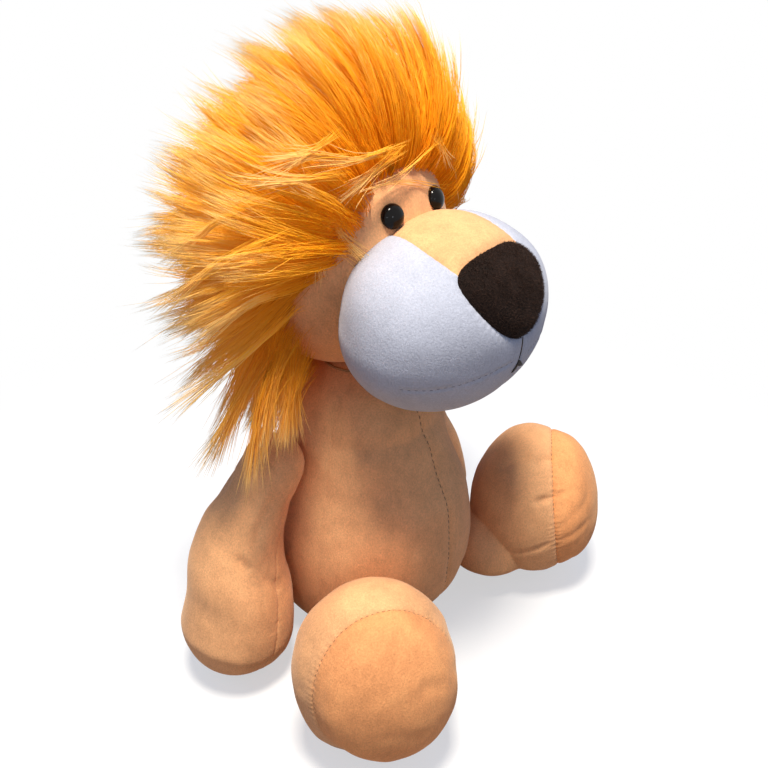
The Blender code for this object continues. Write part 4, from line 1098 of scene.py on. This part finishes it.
def mane_guides(random, count, points_each):
    """Grows the middle hair of each lock as a curve from its root to its tip on the mane's outline."""
    roots, angle, back = mane_roots(random, count)
    normals = unit((roots - HEAD) / HEAD_RADII ** 2)
    stir = [lumps(roots, 24 * MM, 71 + k) + 0.3 * lumps(roots, 9 * MM, 171 + k) for k in range(4)]
    loose = random.normal(size=(4, count))
    side = np.abs(angle)
    # Hair beside and under the face turns down, hair on top stands
    sink = 0.42 * smooth_step(side, 0.9, 1.9) * smooth_step(-side, -3.1, -2.2)
    sink = sink + 0.10 * smooth_step(side, 0.5, 1.2)
    fan = angle + np.sign(angle) * sink + 0.20 * stir[0] + 0.06 * loose[0]
    lean = 0.01 + 1.45 * np.maximum(back, 0) + 0.12 * stir[1] + 0.07 * loose[1]
    lean += random.uniform(-0.08, 0.16, count) * smooth_step(-np.abs(back), -0.3, 0)
    centre = MANE_SEAM + np.array([0, 3, 2]) * MM
    flat = around_face(fan)
    # On top it leans over backwards and lies along the mane, some tufts more than others
    top = smooth_step(-side, -1.5, -0.5)
    bend = (0.06 + 0.38 * top) * (1 + 1.1 * stir[3]) * (1 - smooth_step(back, 0.5, 0.9))
    far_lean = lean + bend
    ahead = unit(flat * np.cos(far_lean)[:, None] + MANE_BACKWARD * np.sin(far_lean)[:, None])
    lying_on = MANE_BACKWARD * np.cos(far_lean)[:, None] - flat * np.sin(far_lean)[:, None]
    reach = mane_rim(np.tile(centre, (count, 1)), ahead)
    tuft = np.interp(np.degrees(fan), TUFT_ANGLES, TUFT_GAINS) * MM * smooth_step(-lean, -0.7, 0.1)
    reach = reach * (1.06 + 0.05 * stir[2] + 0.03 * loose[2]) + tuft
    reach = reach * (1 - 0.06 * smooth_step(ahead[:, 0], 0.2, 0.8))
    reach = reach * (1 + 0.04 * smooth_step(-ahead[:, 0], 0.2, 0.7) * smooth_step(lean, 0.2, 0.6))
    tips = centre + ahead * reach[:, None]
    # Hair on the back of the head lies down over it
    down = smooth_step(back, 0.45, 0.85)
    lying = unit(normals * (normals @ UP)[:, None] - UP + flat * 0.45 + MANE_BACKWARD * 0.25)
    laid = roots + lying * random.uniform(38, 62, count)[:, None] * MM + normals * 10 * MM
    skin = random.uniform(0.94, 1.06, count) + 0.03 * stir[2]
    laid = DENSE[0] + (laid - DENSE[0]) * (skin / fullness(laid, DENSE))[:, None]
    tips = tips * (1 - down[:, None]) + laid * down[:, None]
    # At the low back the tips keep to the mane's dense shape
    far = fullness(tips, DENSE) / random.uniform(1.0, 1.14, count)
    low_back = smooth_step(tips[:, 1], 22 * MM, 40 * MM)
    low_back *= smooth_step(-tips[:, 2], -HEAD[2], -HEAD[2] + 30 * MM)
    tips = DENSE[0] + (tips - DENSE[0]) * (1 + (1 / np.maximum(far, 1) - 1) * low_back)[:, None]
    # Short hairs end on the way and show their pale tips
    seldom = 0.05 + 0.25 * smooth_step(back, 0.1, 0.5)
    short = np.where(random.uniform(size=count) < seldom, random.uniform(0.55, 0.95, count), 1.0)
    tips = roots + (tips - roots) * short[:, None]
    low = LOWEST_TIP + 7 * MM * random.uniform(-1, 1, count) + 30 * MM * smooth_step(back, 0.08, 0.3)
    hang = 34 * MM * smooth_step(side, 1.25, 2.2) * (1 - 0.7 * np.maximum(back, 0))
    tips[:, 2] -= hang
    tips[:, 2] = np.maximum(tips[:, 2], low)
    # The curve leaves the root outwards and comes to its tip along the fan, hanging at the sides
    length = np.linalg.norm(tips - roots, axis=1)[:, None]
    leave = unit(normals * 0.55 + flat * 0.75 - UP * (0.1 * smooth_step(side, 1.0, 2.0))[:, None]
                 + np.stack(loose[:3], axis=1) * 0.10)
    droop = (0.15 + 0.75 * smooth_step(side, 0.8, 1.9))[:, None]
    arrive = unit(ahead * 0.8 + MANE_BACKWARD * 0.25 - UP * droop + np.stack(stir[:3], axis=1) * 0.35
                  + lying_on * (bend * 2.2)[:, None])
    first = roots + leave * length * 0.36
    second = tips - arrive * length * 0.34
    way = np.linspace(0, 1, points_each)[:, None]
    start = roots - normals * 1.2 * MM
    curve = [start[:, None] * (1 - way) ** 3, first[:, None] * 3 * (1 - way) ** 2 * way,
             second[:, None] * 3 * (1 - way) * way ** 2, tips[:, None] * way ** 3]
    paths = sum(curve)
    # Nothing sinks into the head
    deep = np.linalg.norm((paths - HEAD) / (HEAD_RADII + 0.8 * MM), axis=2)
    lift = np.where(deep < 1, 1 / np.maximum(deep, 0.2), 1)
    lift[:, 0] = 1
    paths = HEAD + (paths - HEAD) * lift[..., None]
    return roots, normals, angle, np.maximum(back, 0), paths


def along_path(paths, shares):
    """Reads paths at shares of their lengths."""
    steps = paths.shape[1] - 1
    at = np.clip(shares, 0, 1) * steps
    low = np.minimum(at.astype(int), steps - 1)
    part = (at - low)[..., None]
    rows = np.arange(len(paths))[:, None]
    return paths[rows, low] * (1 - part) + paths[rows, low + 1] * part


def gather(random, guides, back):
    """Draws the locks together towards the leading lock of each tuft."""
    tufts = 120
    spots = guides[:, 10]
    leaders = [0]
    apart = np.linalg.norm(spots - spots[0], axis=1)
    for _ in range(tufts - 1):
        leaders.append(int(np.argmax(apart * random.uniform(0.7, 1.0, len(apart)))))
        apart = np.minimum(apart, np.linalg.norm(spots - spots[leaders[-1]], axis=1))
    gaps = np.linalg.norm(spots[:, None] - spots[leaders][None], axis=2)
    own = gaps.argmin(axis=1)
    pull = random.uniform(0.35, 0.85, tufts)[own] * (1 - 0.5 * smooth_step(back, 0.3, 0.6))
    way = np.linspace(0, 1, guides.shape[1]) ** 1.6
    lead = guides[np.array(leaders)[own]]
    size = random.uniform(-4.0, 7.0, tufts)[own] * MM * (1 - 0.7 * smooth_step(back, 0.5, 0.8))
    ahead = unit(lead[:, -1] - lead[:, -4])
    drawn = guides + (lead - guides) * (pull[:, None] * way)[..., None]
    return drawn + ahead[:, None] * (size[:, None] * way ** 2)[..., None]


def pile_tone_with_painted_light(random, stir, angle):
    """How pale each hair is: tone that differs at random, and palest over the brow and darkest below the
    cheeks, partly the fur's own colour and partly painted light and painted shade.
    """
    side = np.abs(angle)
    tone = 0.42 + 0.16 * stir + random.normal(size=len(stir)) * 0.12
    # Partly painted light and shade: paler over the top, darker below the cheeks
    return tone + (0.42 * smooth_step(-side, -1.7, -0.8) - 0.15 * smooth_step(side, 1.7, 2.3))


LOCKS = 3000
HAIRS_EACH = 22
LOCK_PIECES = 14
HAIR_TOP = 293 * MM


def build_mane():
    """Locks of long pile round the head over a dense undercoat."""
    random = np.random.default_rng(2025)
    locks, each, rings, pieces = LOCKS, HAIRS_EACH, 7, LOCK_PIECES
    roots, normals, angle, back, guides = mane_guides(random, locks, 15)
    guides = gather(random, guides, back)
    parent = np.repeat(np.arange(locks), each)
    count = len(parent)
    spread = unit(random.normal(size=(count, 3))) * (random.uniform(0, 1, count) ** 0.5 * 3.6 * MM)[:, None]
    spread -= normals[parent] * np.einsum("ij,ij->i", spread, normals[parent])[:, None]
    way = np.linspace(0, 1, rings + 1)
    paths = along_path(guides[parent], way * random.uniform(0.78, 1.0, count)[:, None])
    tight = random.uniform(0.35, 0.78, locks)[parent]
    closing = 1 - tight[:, None] * way[None] ** 0.8
    paths = paths + spread[:, None] * closing[..., None]
    stray = random.normal(size=(count, 3)) * (random.uniform(0, 1, count) ** 5 * 5 * MM)[:, None]
    paths = paths + stray[:, None] * (way ** 2)[None, :, None]
    curl = random.uniform(0, math.tau, count) * 0.35 + random.uniform(0, math.tau, locks)[parent]
    bend = unit(np.cross(normals[parent], guides[parent, 7] - guides[parent, 0]))
    wave = np.sin(way[None] * 4.5 + curl[:, None]) - np.sin(curl)[:, None]
    size = random.uniform(0.3, 1.5, locks)[parent] * MM
    paths = paths + bend[:, None] * (wave * size[:, None])[..., None]
    paths[..., 2] -= 0.55 * np.maximum(paths[..., 2] - HAIR_TOP, 0)
    widths = tapering(random, 0.24, 0.40, count, way)
    stir = lumps(roots, 20 * MM, 82)
    tone = pile_tone_with_painted_light(random, stir[parent], angle[parent])
    outward = unit(paths[:, 4] - HEAD)
    order = np.argsort(parent % pieces, kind="stable")
    for number, rows in enumerate(np.array_split(order, pieces)):
        strands = strand_skin(paths[rows], widths[rows], outward[rows], np.clip(tone[rows], 0, 1))
        nodes = ["mane"] if number == 0 else []
        new_object(f"mane_locks_{number + 1}", strands, MANE, "head", nodes)
    loose_hair(random, "mane_wisps", WISPS, 1.2 * MM, (0.6, 1.0), 0.72)
    # The curtains take the darker tones: partly the fur's own colour, partly painted shade where they hang
    # under the head
    loose_hair(random, "mane_curtains", CURTAINS, 2.8 * MM, (0.0, 0.5), 0.1)
    short_pile(random, build_undercoat(), guides, stir, angle)


# Locks beside the cheek, in front of the shoulder and at the neck: three places in mm, and their hairs
CURTAINS = (
    ((-47, -4, 177), (-63, -9, 163), (-73, -10, 137), 80),
    ((-48, -2, 174), (-69, -8, 159), (-80, -8, 124), 80),
    ((-46, -6, 172), (-56, -11, 157), (-63, -11, 136), 110),
    ((-46, 0, 178), (-71, 2, 156), (-84, 8, 130), 70),
    ((-44, -6, 168), (-52, -10, 155), (-55, -8, 132), 90),
    ((-42, -4, 164), (-49, -6, 150), (-52, -4, 138), 70),
    ((-40, -2, 162), (-44, -2, 150), (-46, 0, 134), 60),
    ((46, -6, 172), (56, -11, 157), (63, -11, 136), 100),
    ((44, -6, 168), (52, -10, 155), (55, -8, 132), 100),
    ((40, -4, 162), (44, -4, 150), (46, -2, 134), 60),
)

# Loose wisps across the mane and the forehead, in the same way
WISPS = (
    ((-36, -29, 251), (-51, -23, 254), (-62, -13, 252), 30),
    ((-43, -28, 247), (-57, -22, 247), (-69, -9, 247), 40),
    ((-42, -25, 260), (-50, -23, 256), (-60, -16, 252), 20),
    ((-12, -32, 249), (-27, -30, 243), (-40, -27, 237), 30),
    ((-14, -32, 250), (-36, -30, 251), (-52, -22, 254), 24),
    ((-36, -26, 236), (-36, -21, 223), (-28, -27, 209), 24),
    ((-38, -22, 230), (-42, -17, 217), (-41, -16, 204), 24),
    ((14, -31, 247), (-8, -31, 240), (-28, -29, 236), 7),
    ((13, -31, 229), (-10, -29, 236), (-38, -28, 238), 4),
    ((-33, -22, 226), (-37, -20, 217), (-26, -29, 206), 6),
    ((8, -33, 250), (14, -33, 243), (22, -29, 236), 14),
    ((30, -26, 240), (36, -22, 230), (39, -17, 219), 22),
    ((-52, -10, 201), (-75, -10, 202), (-88, 8, 184), 34),
    ((-48, -6, 189), (-69, -2, 178), (-92, 16, 158), 44),
    ((-43, 0, 176), (-60, 8, 152), (-77, 20, 124), 50),
    ((-38, 2, 166), (-52, 2, 142), (-64, 4, 118), 44),
    ((-67, -13, 241), (-77, 0, 232), (-84, 22, 214), 30),
    ((-68, -18, 228), (-80, -4, 219), (-86, 26, 195), 34),
    ((48, -6, 189), (66, -4, 178), (86, 12, 160), 34),
    ((43, 0, 176), (58, 8, 152), (70, 18, 126), 34),
    ((50, -16, 226), (66, -10, 226), (80, 6, 216), 26),
)


def loose_hair(random, name, rows, spread, tones, start):
    """Hair along given curves over the mane, the forehead and the shoulders."""
    paths, widths, shades_of = [], [], []
    rings = 9
    way = np.linspace(0, 1, rings + 1)
    for *places, count in rows:
        line = through(np.array(places) * MM, rings + 1)
        apart = random.normal(size=(count, 1, 3)) * spread
        shift = (random.uniform(-0.14, 0.14, count) * np.linalg.norm(line[-1] - line[0]))[:, None, None]
        ahead = unit(np.gradient(line, axis=0))[None]
        closing = (1.1 - 0.8 * np.sin(way * 2.6))[None, :, None]
        stray = random.normal(size=(count, 1, 3)) * 2.6 * MM * (way ** 2)[None, :, None]
        paths.append(line[None] + apart * closing + ahead * shift + stray)
        thick = random.uniform(0.20, 0.34, count)[:, None] * MM
        widths.append(thick * (1 - 0.75 * np.abs(way * 2 - 1) ** 3)[None])
        shades_of.append(random.uniform(*tones, count))
    paths = np.concatenate(paths)
    deep = np.linalg.norm((paths - HEAD) / (HEAD_RADII + 1.0 * MM), axis=2)
    paths = HEAD + (paths - HEAD) * np.where(deep < 1, 1 / np.maximum(deep, 0.3), 1)[..., None]
    outward = unit(paths[:, 5] - HEAD)
    strands = strand_skin(paths, np.concatenate(widths), outward, np.concatenate(shades_of), start)
    new_object(name, strands, MANE, "head")


UNDERCOAT_SHARE = 0.81
SHORT_HAIRS = 24000
SHORT_PIECES = 4


def build_undercoat():
    """The dense inner pile that closes the gaps between the locks. Gives its skin."""
    ball = ball_skin(60)
    outward = ball.points
    centre, radii = DENSE[:2]
    reach = 1 / fullness(centre + outward * radii, DENSE)
    points = centre + outward * radii * (reach * UNDERCOAT_SHARE)[:, None]
    skull = HEAD + outward * (HEAD_RADII + 2.5 * MM)
    smaller = np.linalg.norm(skull - HEAD, axis=1) > np.linalg.norm(points - HEAD, axis=1)
    skin = Skin(np.where(smaller[:, None], skull, points), ball.tris, ball.uvs)
    back, _ = cut(skin, (skin.points - MANE_SEAM) @ MANE_BACKWARD - 13 * MM)
    kept, _ = cut(back, back.points[:, 2] - NECK[2] - 26 * MM)
    rise = 2.2 * MM * lumps(kept.points, 9 * MM, 91) + 0.9 * MM * lumps(kept.points, 3 * MM, 92)
    kept = raised(kept, rise)
    new_object("mane_undercoat", kept, UNDERCOAT, "head")
    return kept


def short_pile(random, skin, guides, stir, angle):
    """Shorter hair over the undercoat that follows the locks near it."""
    count, rings = SHORT_HAIRS, 5
    spots, normals = scatter(random, skin, count)
    tree = kdtree.KDTree(guides.shape[0] * guides.shape[1])
    for number, place in enumerate(guides.reshape(-1, 3)):
        tree.insert(place, number)
    tree.balance()
    flow = unit(np.gradient(guides, axis=1)).reshape(-1, 3)
    near = np.array([[hit[1] for hit in tree.find_n(spot, 6)] for spot in spots])
    along = unit(flow[near].mean(axis=1) + random.normal(size=(count, 3)) * 0.14)
    lock = near[:, 0] // guides.shape[1]
    length = (random.uniform(10, 19, count) * MM)[:, None, None]
    way = np.linspace(0, 1, rings + 1)[:, None]
    leave = unit(along * 0.9 + normals * 0.35)
    settled = unit(along + normals * 0.05 - UP * 0.12)
    paths = (spots - normals * 0.6 * MM)[:, None] + leave[:, None] * length * way
    paths = paths + (settled - leave)[:, None] * length * way ** 2 * 0.6
    widths = tapering(random, 0.26, 0.40, count, way[:, 0])
    tone = pile_tone_with_painted_light(random, stir[lock], angle[lock])
    strands = strand_skin(paths, widths, normals, np.clip(tone, 0, 1), 0.15, 0.88)
    for number, part in enumerate(np.array_split(np.arange(len(strands.tris)), SHORT_PIECES)):
        used, again = np.unique(strands.tris[part], return_inverse=True)
        piece = Skin(strands.points[used], again.reshape(-1, 3), strands.uvs[part], ())
        new_object(f"mane_short_pile_{number + 1}", piece, MANE, "head")


# Eyes, mouth and stitches

EYE_RADIUS = 5 * MM
EYE_DOME = 3.5 * MM
EYE_APART = 27 * MM
EYE_SHIFT = -0.8 * MM
EYE_RISE = 22.5 * MM


def build_eyes():
    """Polished domes with a thin rim, each on its shank."""
    for side, sign in SIDES:
        across, rise = sign * EYE_APART / 2 + EYE_SHIFT, EYE_RISE
        flat = 1 - (across / HEAD_RADII[0]) ** 2 - (rise / HEAD_RADII[2]) ** 2
        offset = np.array([across, -HEAD_RADII[1] * math.sqrt(flat), rise])
        outward = unit(offset / HEAD_RADII ** 2)
        seat = HEAD + offset + outward * 0.3 * MM
        turns = np.linspace(0, math.pi / 2, 18)
        profile = [(EYE_DOME * math.cos(a), EYE_RADIUS * math.sin(a)) for a in turns]
        profile += [(-0.45 * MM, EYE_RADIUS * 0.985), (-0.6 * MM, EYE_RADIUS * 0.9), (-0.6 * MM, 2 * MM),
                    (-0.9 * MM, 1.8 * MM), (-9.8 * MM, 1.8 * MM), (-10 * MM, 1.5 * MM)]
        profile = np.array(profile)
        first = unit(np.cross(outward, UP))
        second = np.cross(outward, first)
        radius = np.maximum(profile[:, 1], 0.001 * MM)[:, None]
        skin = loft_skin(seat + profile[:, :1] * outward, radius * first, radius * second, 64)
        new_object(side + "_eye_dome", skin, EYE, "head", [side + "_eye"])


def on_muzzle(across, height, proud):
    """The place on the muzzle's raised front at a place across and a height, both from its centre."""
    turn = MUZZLE_TURN
    grown = MUZZLE_RADII + proud
    start = turn.T @ np.array([across, 0, height])
    ahead = turn.T @ np.array([0, -1.0, 0])
    a = ((ahead / grown) ** 2).sum()
    b = 2 * (start * ahead / grown ** 2).sum()
    c = ((start / grown) ** 2).sum() - 1
    reach = (-b + math.sqrt(b * b - 4 * a * c)) / (2 * a)
    place = MUZZLE + np.array([across, -reach, height])
    outward = turn @ unit(turn.T @ (place - MUZZLE) / grown ** 2)
    return place + outward * muzzle_relief(place[None])[0]


def build_mouth():
    """The dark thread from the nose down to the mouth's satin stitches."""
    top = NOSE_TOP - NOSE_HEIGHT - 0.3 * MM
    skins = [tube([on_muzzle(0, top - 11 * MM * k / 8, 0.25 * MM) for k in range(9)], 0.35 * MM)]
    for k in range(6):
        wide = (0.8 + 3.4 * k / 5) * MM
        drop = top - 11 * MM - (k * 0.42) * MM
        row = [on_muzzle(x, drop - abs(x) * 0.35, 0.4 * MM) for x in np.linspace(-wide, wide, 9)]
        skins.append(tube(through(row, 14), 0.30 * MM))
    new_object("mouth_threads", join(skins), DARK_THREAD, "head", ["mouth_stitching"])
    skins = []
    for side in (-1, 1):
        line = through(np.array(MOUTH_LINE) * (side, 1, 1) * MM, 60)
        outward = unit((line - MUZZLE) / MUZZLE_RADII ** 2)
        line = MUZZLE + (line - MUZZLE) / np.linalg.norm(to_muzzle(line) / MUZZLE_RADII, axis=1)[:, None]
        line = line + outward * muzzle_relief(line)[:, None]
        skins += stitches(line, outward, 1.5 * MM, 1.3 * MM, 0.34 * MM, 0.04 * MM)
    new_object("mouth_seam_stitches", join(skins), GREY_THREAD, "head")


# Tail

TAIL_RADIUS = 4.5 * MM
TAIL_BEND_RADIUS = 42 * MM
TAIL_SWEEP = math.radians(75)
TAIL_OUTWARD = unit(np.array([0.16, 0.987, 0]))
TUFT_RADIUS = 10 * MM
TUFT_LENGTH = 34 * MM


def tail_spine(way):
    """The tail's middle at a share of its length, and its direction there."""
    aside = np.cross(TAIL_OUTWARD, UP)
    pivot = JOINTS["tail_swing"]
    hub = pivot + aside * TAIL_BEND_RADIUS
    turn = TAIL_SWEEP * way
    spot = hub + (TAIL_OUTWARD * math.sin(turn) - aside * math.cos(turn)) * TAIL_BEND_RADIUS
    drop = (pivot[2] - TAIL_RADIUS - 0.3 * MM) * way * way * (3 - 2 * way)
    return spot - UP * drop, TAIL_OUTWARD * math.cos(turn) + aside * math.sin(turn)


def build_tail():
    """A thin sewn tail that bends round on the floor, with a tuft of long pile."""
    spots, heads = zip(*(tail_spine(way) for way in np.linspace(0, 1, 60)))
    cap = [(spots[0] - heads[0] * TAIL_RADIUS * math.sin(a), heads[0], math.cos(a))
           for a in (1.55, 1.2, 0.8, 0.4)]
    rings = cap + [(spot, head, 1.0) for spot, head in zip(spots, heads)]
    centres = np.array([ring[0] for ring in rings])
    sideways = np.array([unit(np.cross(ring[1], UP)) * ring[2] for ring in rings]) * TAIL_RADIUS
    upward = np.array([UP * ring[2] for ring in rings]) * TAIL_RADIUS
    skin = loft_skin(centres, sideways, upward, 40)

    def relief(points):
        under = smooth_step(-points[:, 2], -6 * MM, -1 * MM)
        return stuffed(points, 95, 0.25 * MM) * (1 - under)

    panel("tail_tube", skin, relief, TAN, "tail", ["tail"])

    random = np.random.default_rng(77)
    count, rings = 1500, 7
    end, ahead = tail_spine(1.0)
    sideways = unit(np.cross(ahead, UP))
    turn = random.uniform(0, math.tau, count)
    around = sideways * np.cos(turn)[:, None] + UP * np.sin(turn)[:, None]
    start = end - ahead * (random.uniform(0, 7, count) * MM)[:, None] + around * (TAIL_RADIUS - 0.6 * MM)
    wide = TUFT_RADIUS * random.uniform(0.35, 1.0, count)[:, None]
    middle = end + ahead * TUFT_LENGTH * 0.42 + around * wide + UP * (TUFT_RADIUS - TAIL_RADIUS) * 0.5
    tip = end + ahead * (TUFT_LENGTH * random.uniform(0.72, 1.0, count))[:, None] + around * wide * 0.25
    tip = tip + random.normal(size=(count, 3)) * 1.2 * MM
    way = np.linspace(0, 1, rings + 1)[:, None]
    paths = start[:, None] * (1 - way) ** 2 + middle[:, None] * 2 * (1 - way) * way + tip[:, None] * way ** 2
    paths[..., 2] = np.maximum(paths[..., 2], 0.4 * MM)
    widths = tapering(random, 0.26, 0.40, count, way[:, 0])
    tone = np.clip(0.5 + 0.2 * random.normal(size=count), 0, 1)
    strands = strand_skin(paths, widths, around, tone)
    new_object("tail_tuft_pile", strands, MANE, "tail", ["tail_tuft"])


# Carried-over CAD nodes


def dress_nodes():
    """Gives the CAD nodes that stay their materials."""
    wear = {"neck_stitching": THREAD, "right_eye_washer": WASHER, "left_eye_washer": WASHER}
    for side, _ in SIDES:
        wear[side + "_shoulder_stitching"] = THREAD
        wear[side + "_hip_stitching"] = THREAD
    for name, material in wear.items():
        slots = frame["nodes"][name].material_slots
        for slot in slots:
            slot.material = material


# Stage


FLOOR_BOUNCE = (0.26, 0.19, 0.13)
FLOOR_WHITE = (0.90, 0.90, 0.90)
LAMPS = (
    ("key", (-0.19, -0.15, 1.19), 18.8, 0.22, (1.0, 0.93, 0.82)),
    ("left catch light", (-0.95, -0.45, 0.50), 0.5, 0.08, (0.85, 0.92, 1.0)),
    ("right catch light", (-0.30, -0.95, 0.50), 0.5, 0.08, (0.85, 0.92, 1.0)),
)


def seen_rays(n):
    """1 where the camera sees the surface, also in a reflection or through something clear."""
    path = n.add("LightPath")
    seen = n.math("MAXIMUM", path.outputs["Is Camera Ray"], path.outputs["Is Glossy Ray"])
    return n.math("MAXIMUM", seen, path.outputs["Is Transmission Ray"])


def build_stage():
    """A pale floor, a white backdrop, a high warm key lamp and a cool sky."""
    n = Nodes(bpy.data.materials.new("pale floor"))
    seen = seen_rays(n)
    # Seen by the camera the floor is white, and darker for the light that it throws back
    n.join(n.mix("MIX", seen, FLOOR_BOUNCE, FLOOR_WHITE), n.shader.inputs["Base Color"])
    n.shader.inputs["Roughness"].default_value = 0.95
    n.shader.inputs["Specular IOR Level"].default_value = 0.1
    glow = n.add("Emission", {"Color": (1, 1, 1, 1), "Strength": 1.0})
    blend = n.add("MixShader")
    far_off = n.add("MapRange", {"From Min": 0.13, "From Max": 0.36, "To Min": 0.55, "To Max": 1.0},
                    interpolation_type="SMOOTHSTEP")
    length = n.add("VectorMath", operation="LENGTH")
    n.join(n.add("TexCoord").outputs["Object"], length.inputs[0])
    n.join(length.outputs["Value"], far_off.inputs["Value"])
    n.join(n.math("MULTIPLY", seen, far_off.outputs["Result"]), blend.inputs["Fac"])
    n.join(n.shader.outputs["BSDF"], blend.inputs[1])
    n.join(glow.outputs["Emission"], blend.inputs[2])
    n.join(blend.outputs["Shader"], n.tree.nodes["Material Output"].inputs["Surface"])
    mesh = bpy.data.meshes.new("floor")
    far = 3.0
    mesh.from_pydata([(-far, -far, 0), (far, -far, 0), (far, far, 0), (-far, far, 0)], [], [(0, 1, 2, 3)])
    mesh.materials.append(n.owner)
    floor = bpy.data.objects.new("floor", mesh)
    bpy.context.scene.collection.objects.link(floor)

    world = bpy.data.worlds.new("studio")
    bpy.context.scene.world = world
    world.use_nodes = True
    tree = world.node_tree
    sky = tree.nodes["Background"]
    sky.inputs["Color"].default_value = (0.44, 0.62, 1.0, 1)
    sky.inputs["Strength"].default_value = 0.44
    white = tree.nodes.new("ShaderNodeBackground")
    white.inputs["Color"].default_value = (1, 1, 1, 1)
    white.inputs["Strength"].default_value = 1.0
    rays = tree.nodes.new("ShaderNodeLightPath")
    mixed = tree.nodes.new("ShaderNodeMixShader")
    seen = rays.outputs["Is Camera Ray"]
    for kind in ("Is Glossy Ray", "Is Transmission Ray"):
        either = tree.nodes.new("ShaderNodeMath")
        either.operation = "MAXIMUM"
        tree.links.new(seen, either.inputs[0])
        tree.links.new(rays.outputs[kind], either.inputs[1])
        seen = either.outputs["Value"]
    tree.links.new(seen, mixed.inputs["Fac"])
    tree.links.new(sky.outputs["Background"], mixed.inputs[1])
    tree.links.new(white.outputs["Background"], mixed.inputs[2])
    tree.links.new(mixed.outputs["Shader"], tree.nodes["World Output"].inputs["Surface"])

    for name, place, power, size, colour in LAMPS:
        lamp = bpy.data.lights.new(name, "AREA")
        lamp.energy = power
        lamp.size = size
        lamp.color = colour
        obj = bpy.data.objects.new(name, lamp)
        obj.location = place
        aim = Vector((0, 0, 0.13)) - Vector(place)
        obj.rotation_euler = aim.to_track_quat("-Z", "Y").to_euler()
        bpy.context.scene.collection.objects.link(obj)


def build_camera():
    """The camera that took the photograph."""
    data = bpy.data.cameras.new("camera")
    data.sensor_width = 36
    data.lens = 42.19
    data.clip_start = 0.02
    camera = bpy.data.objects.new("camera", data)
    camera.location = (-0.2729, -0.2324, 0.346)
    camera.rotation_euler = (math.radians(59), 0, math.radians(-51.4))
    bpy.context.scene.collection.objects.link(camera)
    bpy.context.scene.camera = camera
    bpy.context.scene.view_settings.view_transform = "Standard"


build_camera()
build_stage()
build_torso()
build_head()
build_muzzle()
for side_name, side_sign in SIDES:
    build_arm(side_name, side_sign)
    build_leg(side_name, side_sign)
build_eyes()
build_mouth()
build_mane()
build_tail()
dress_nodes()
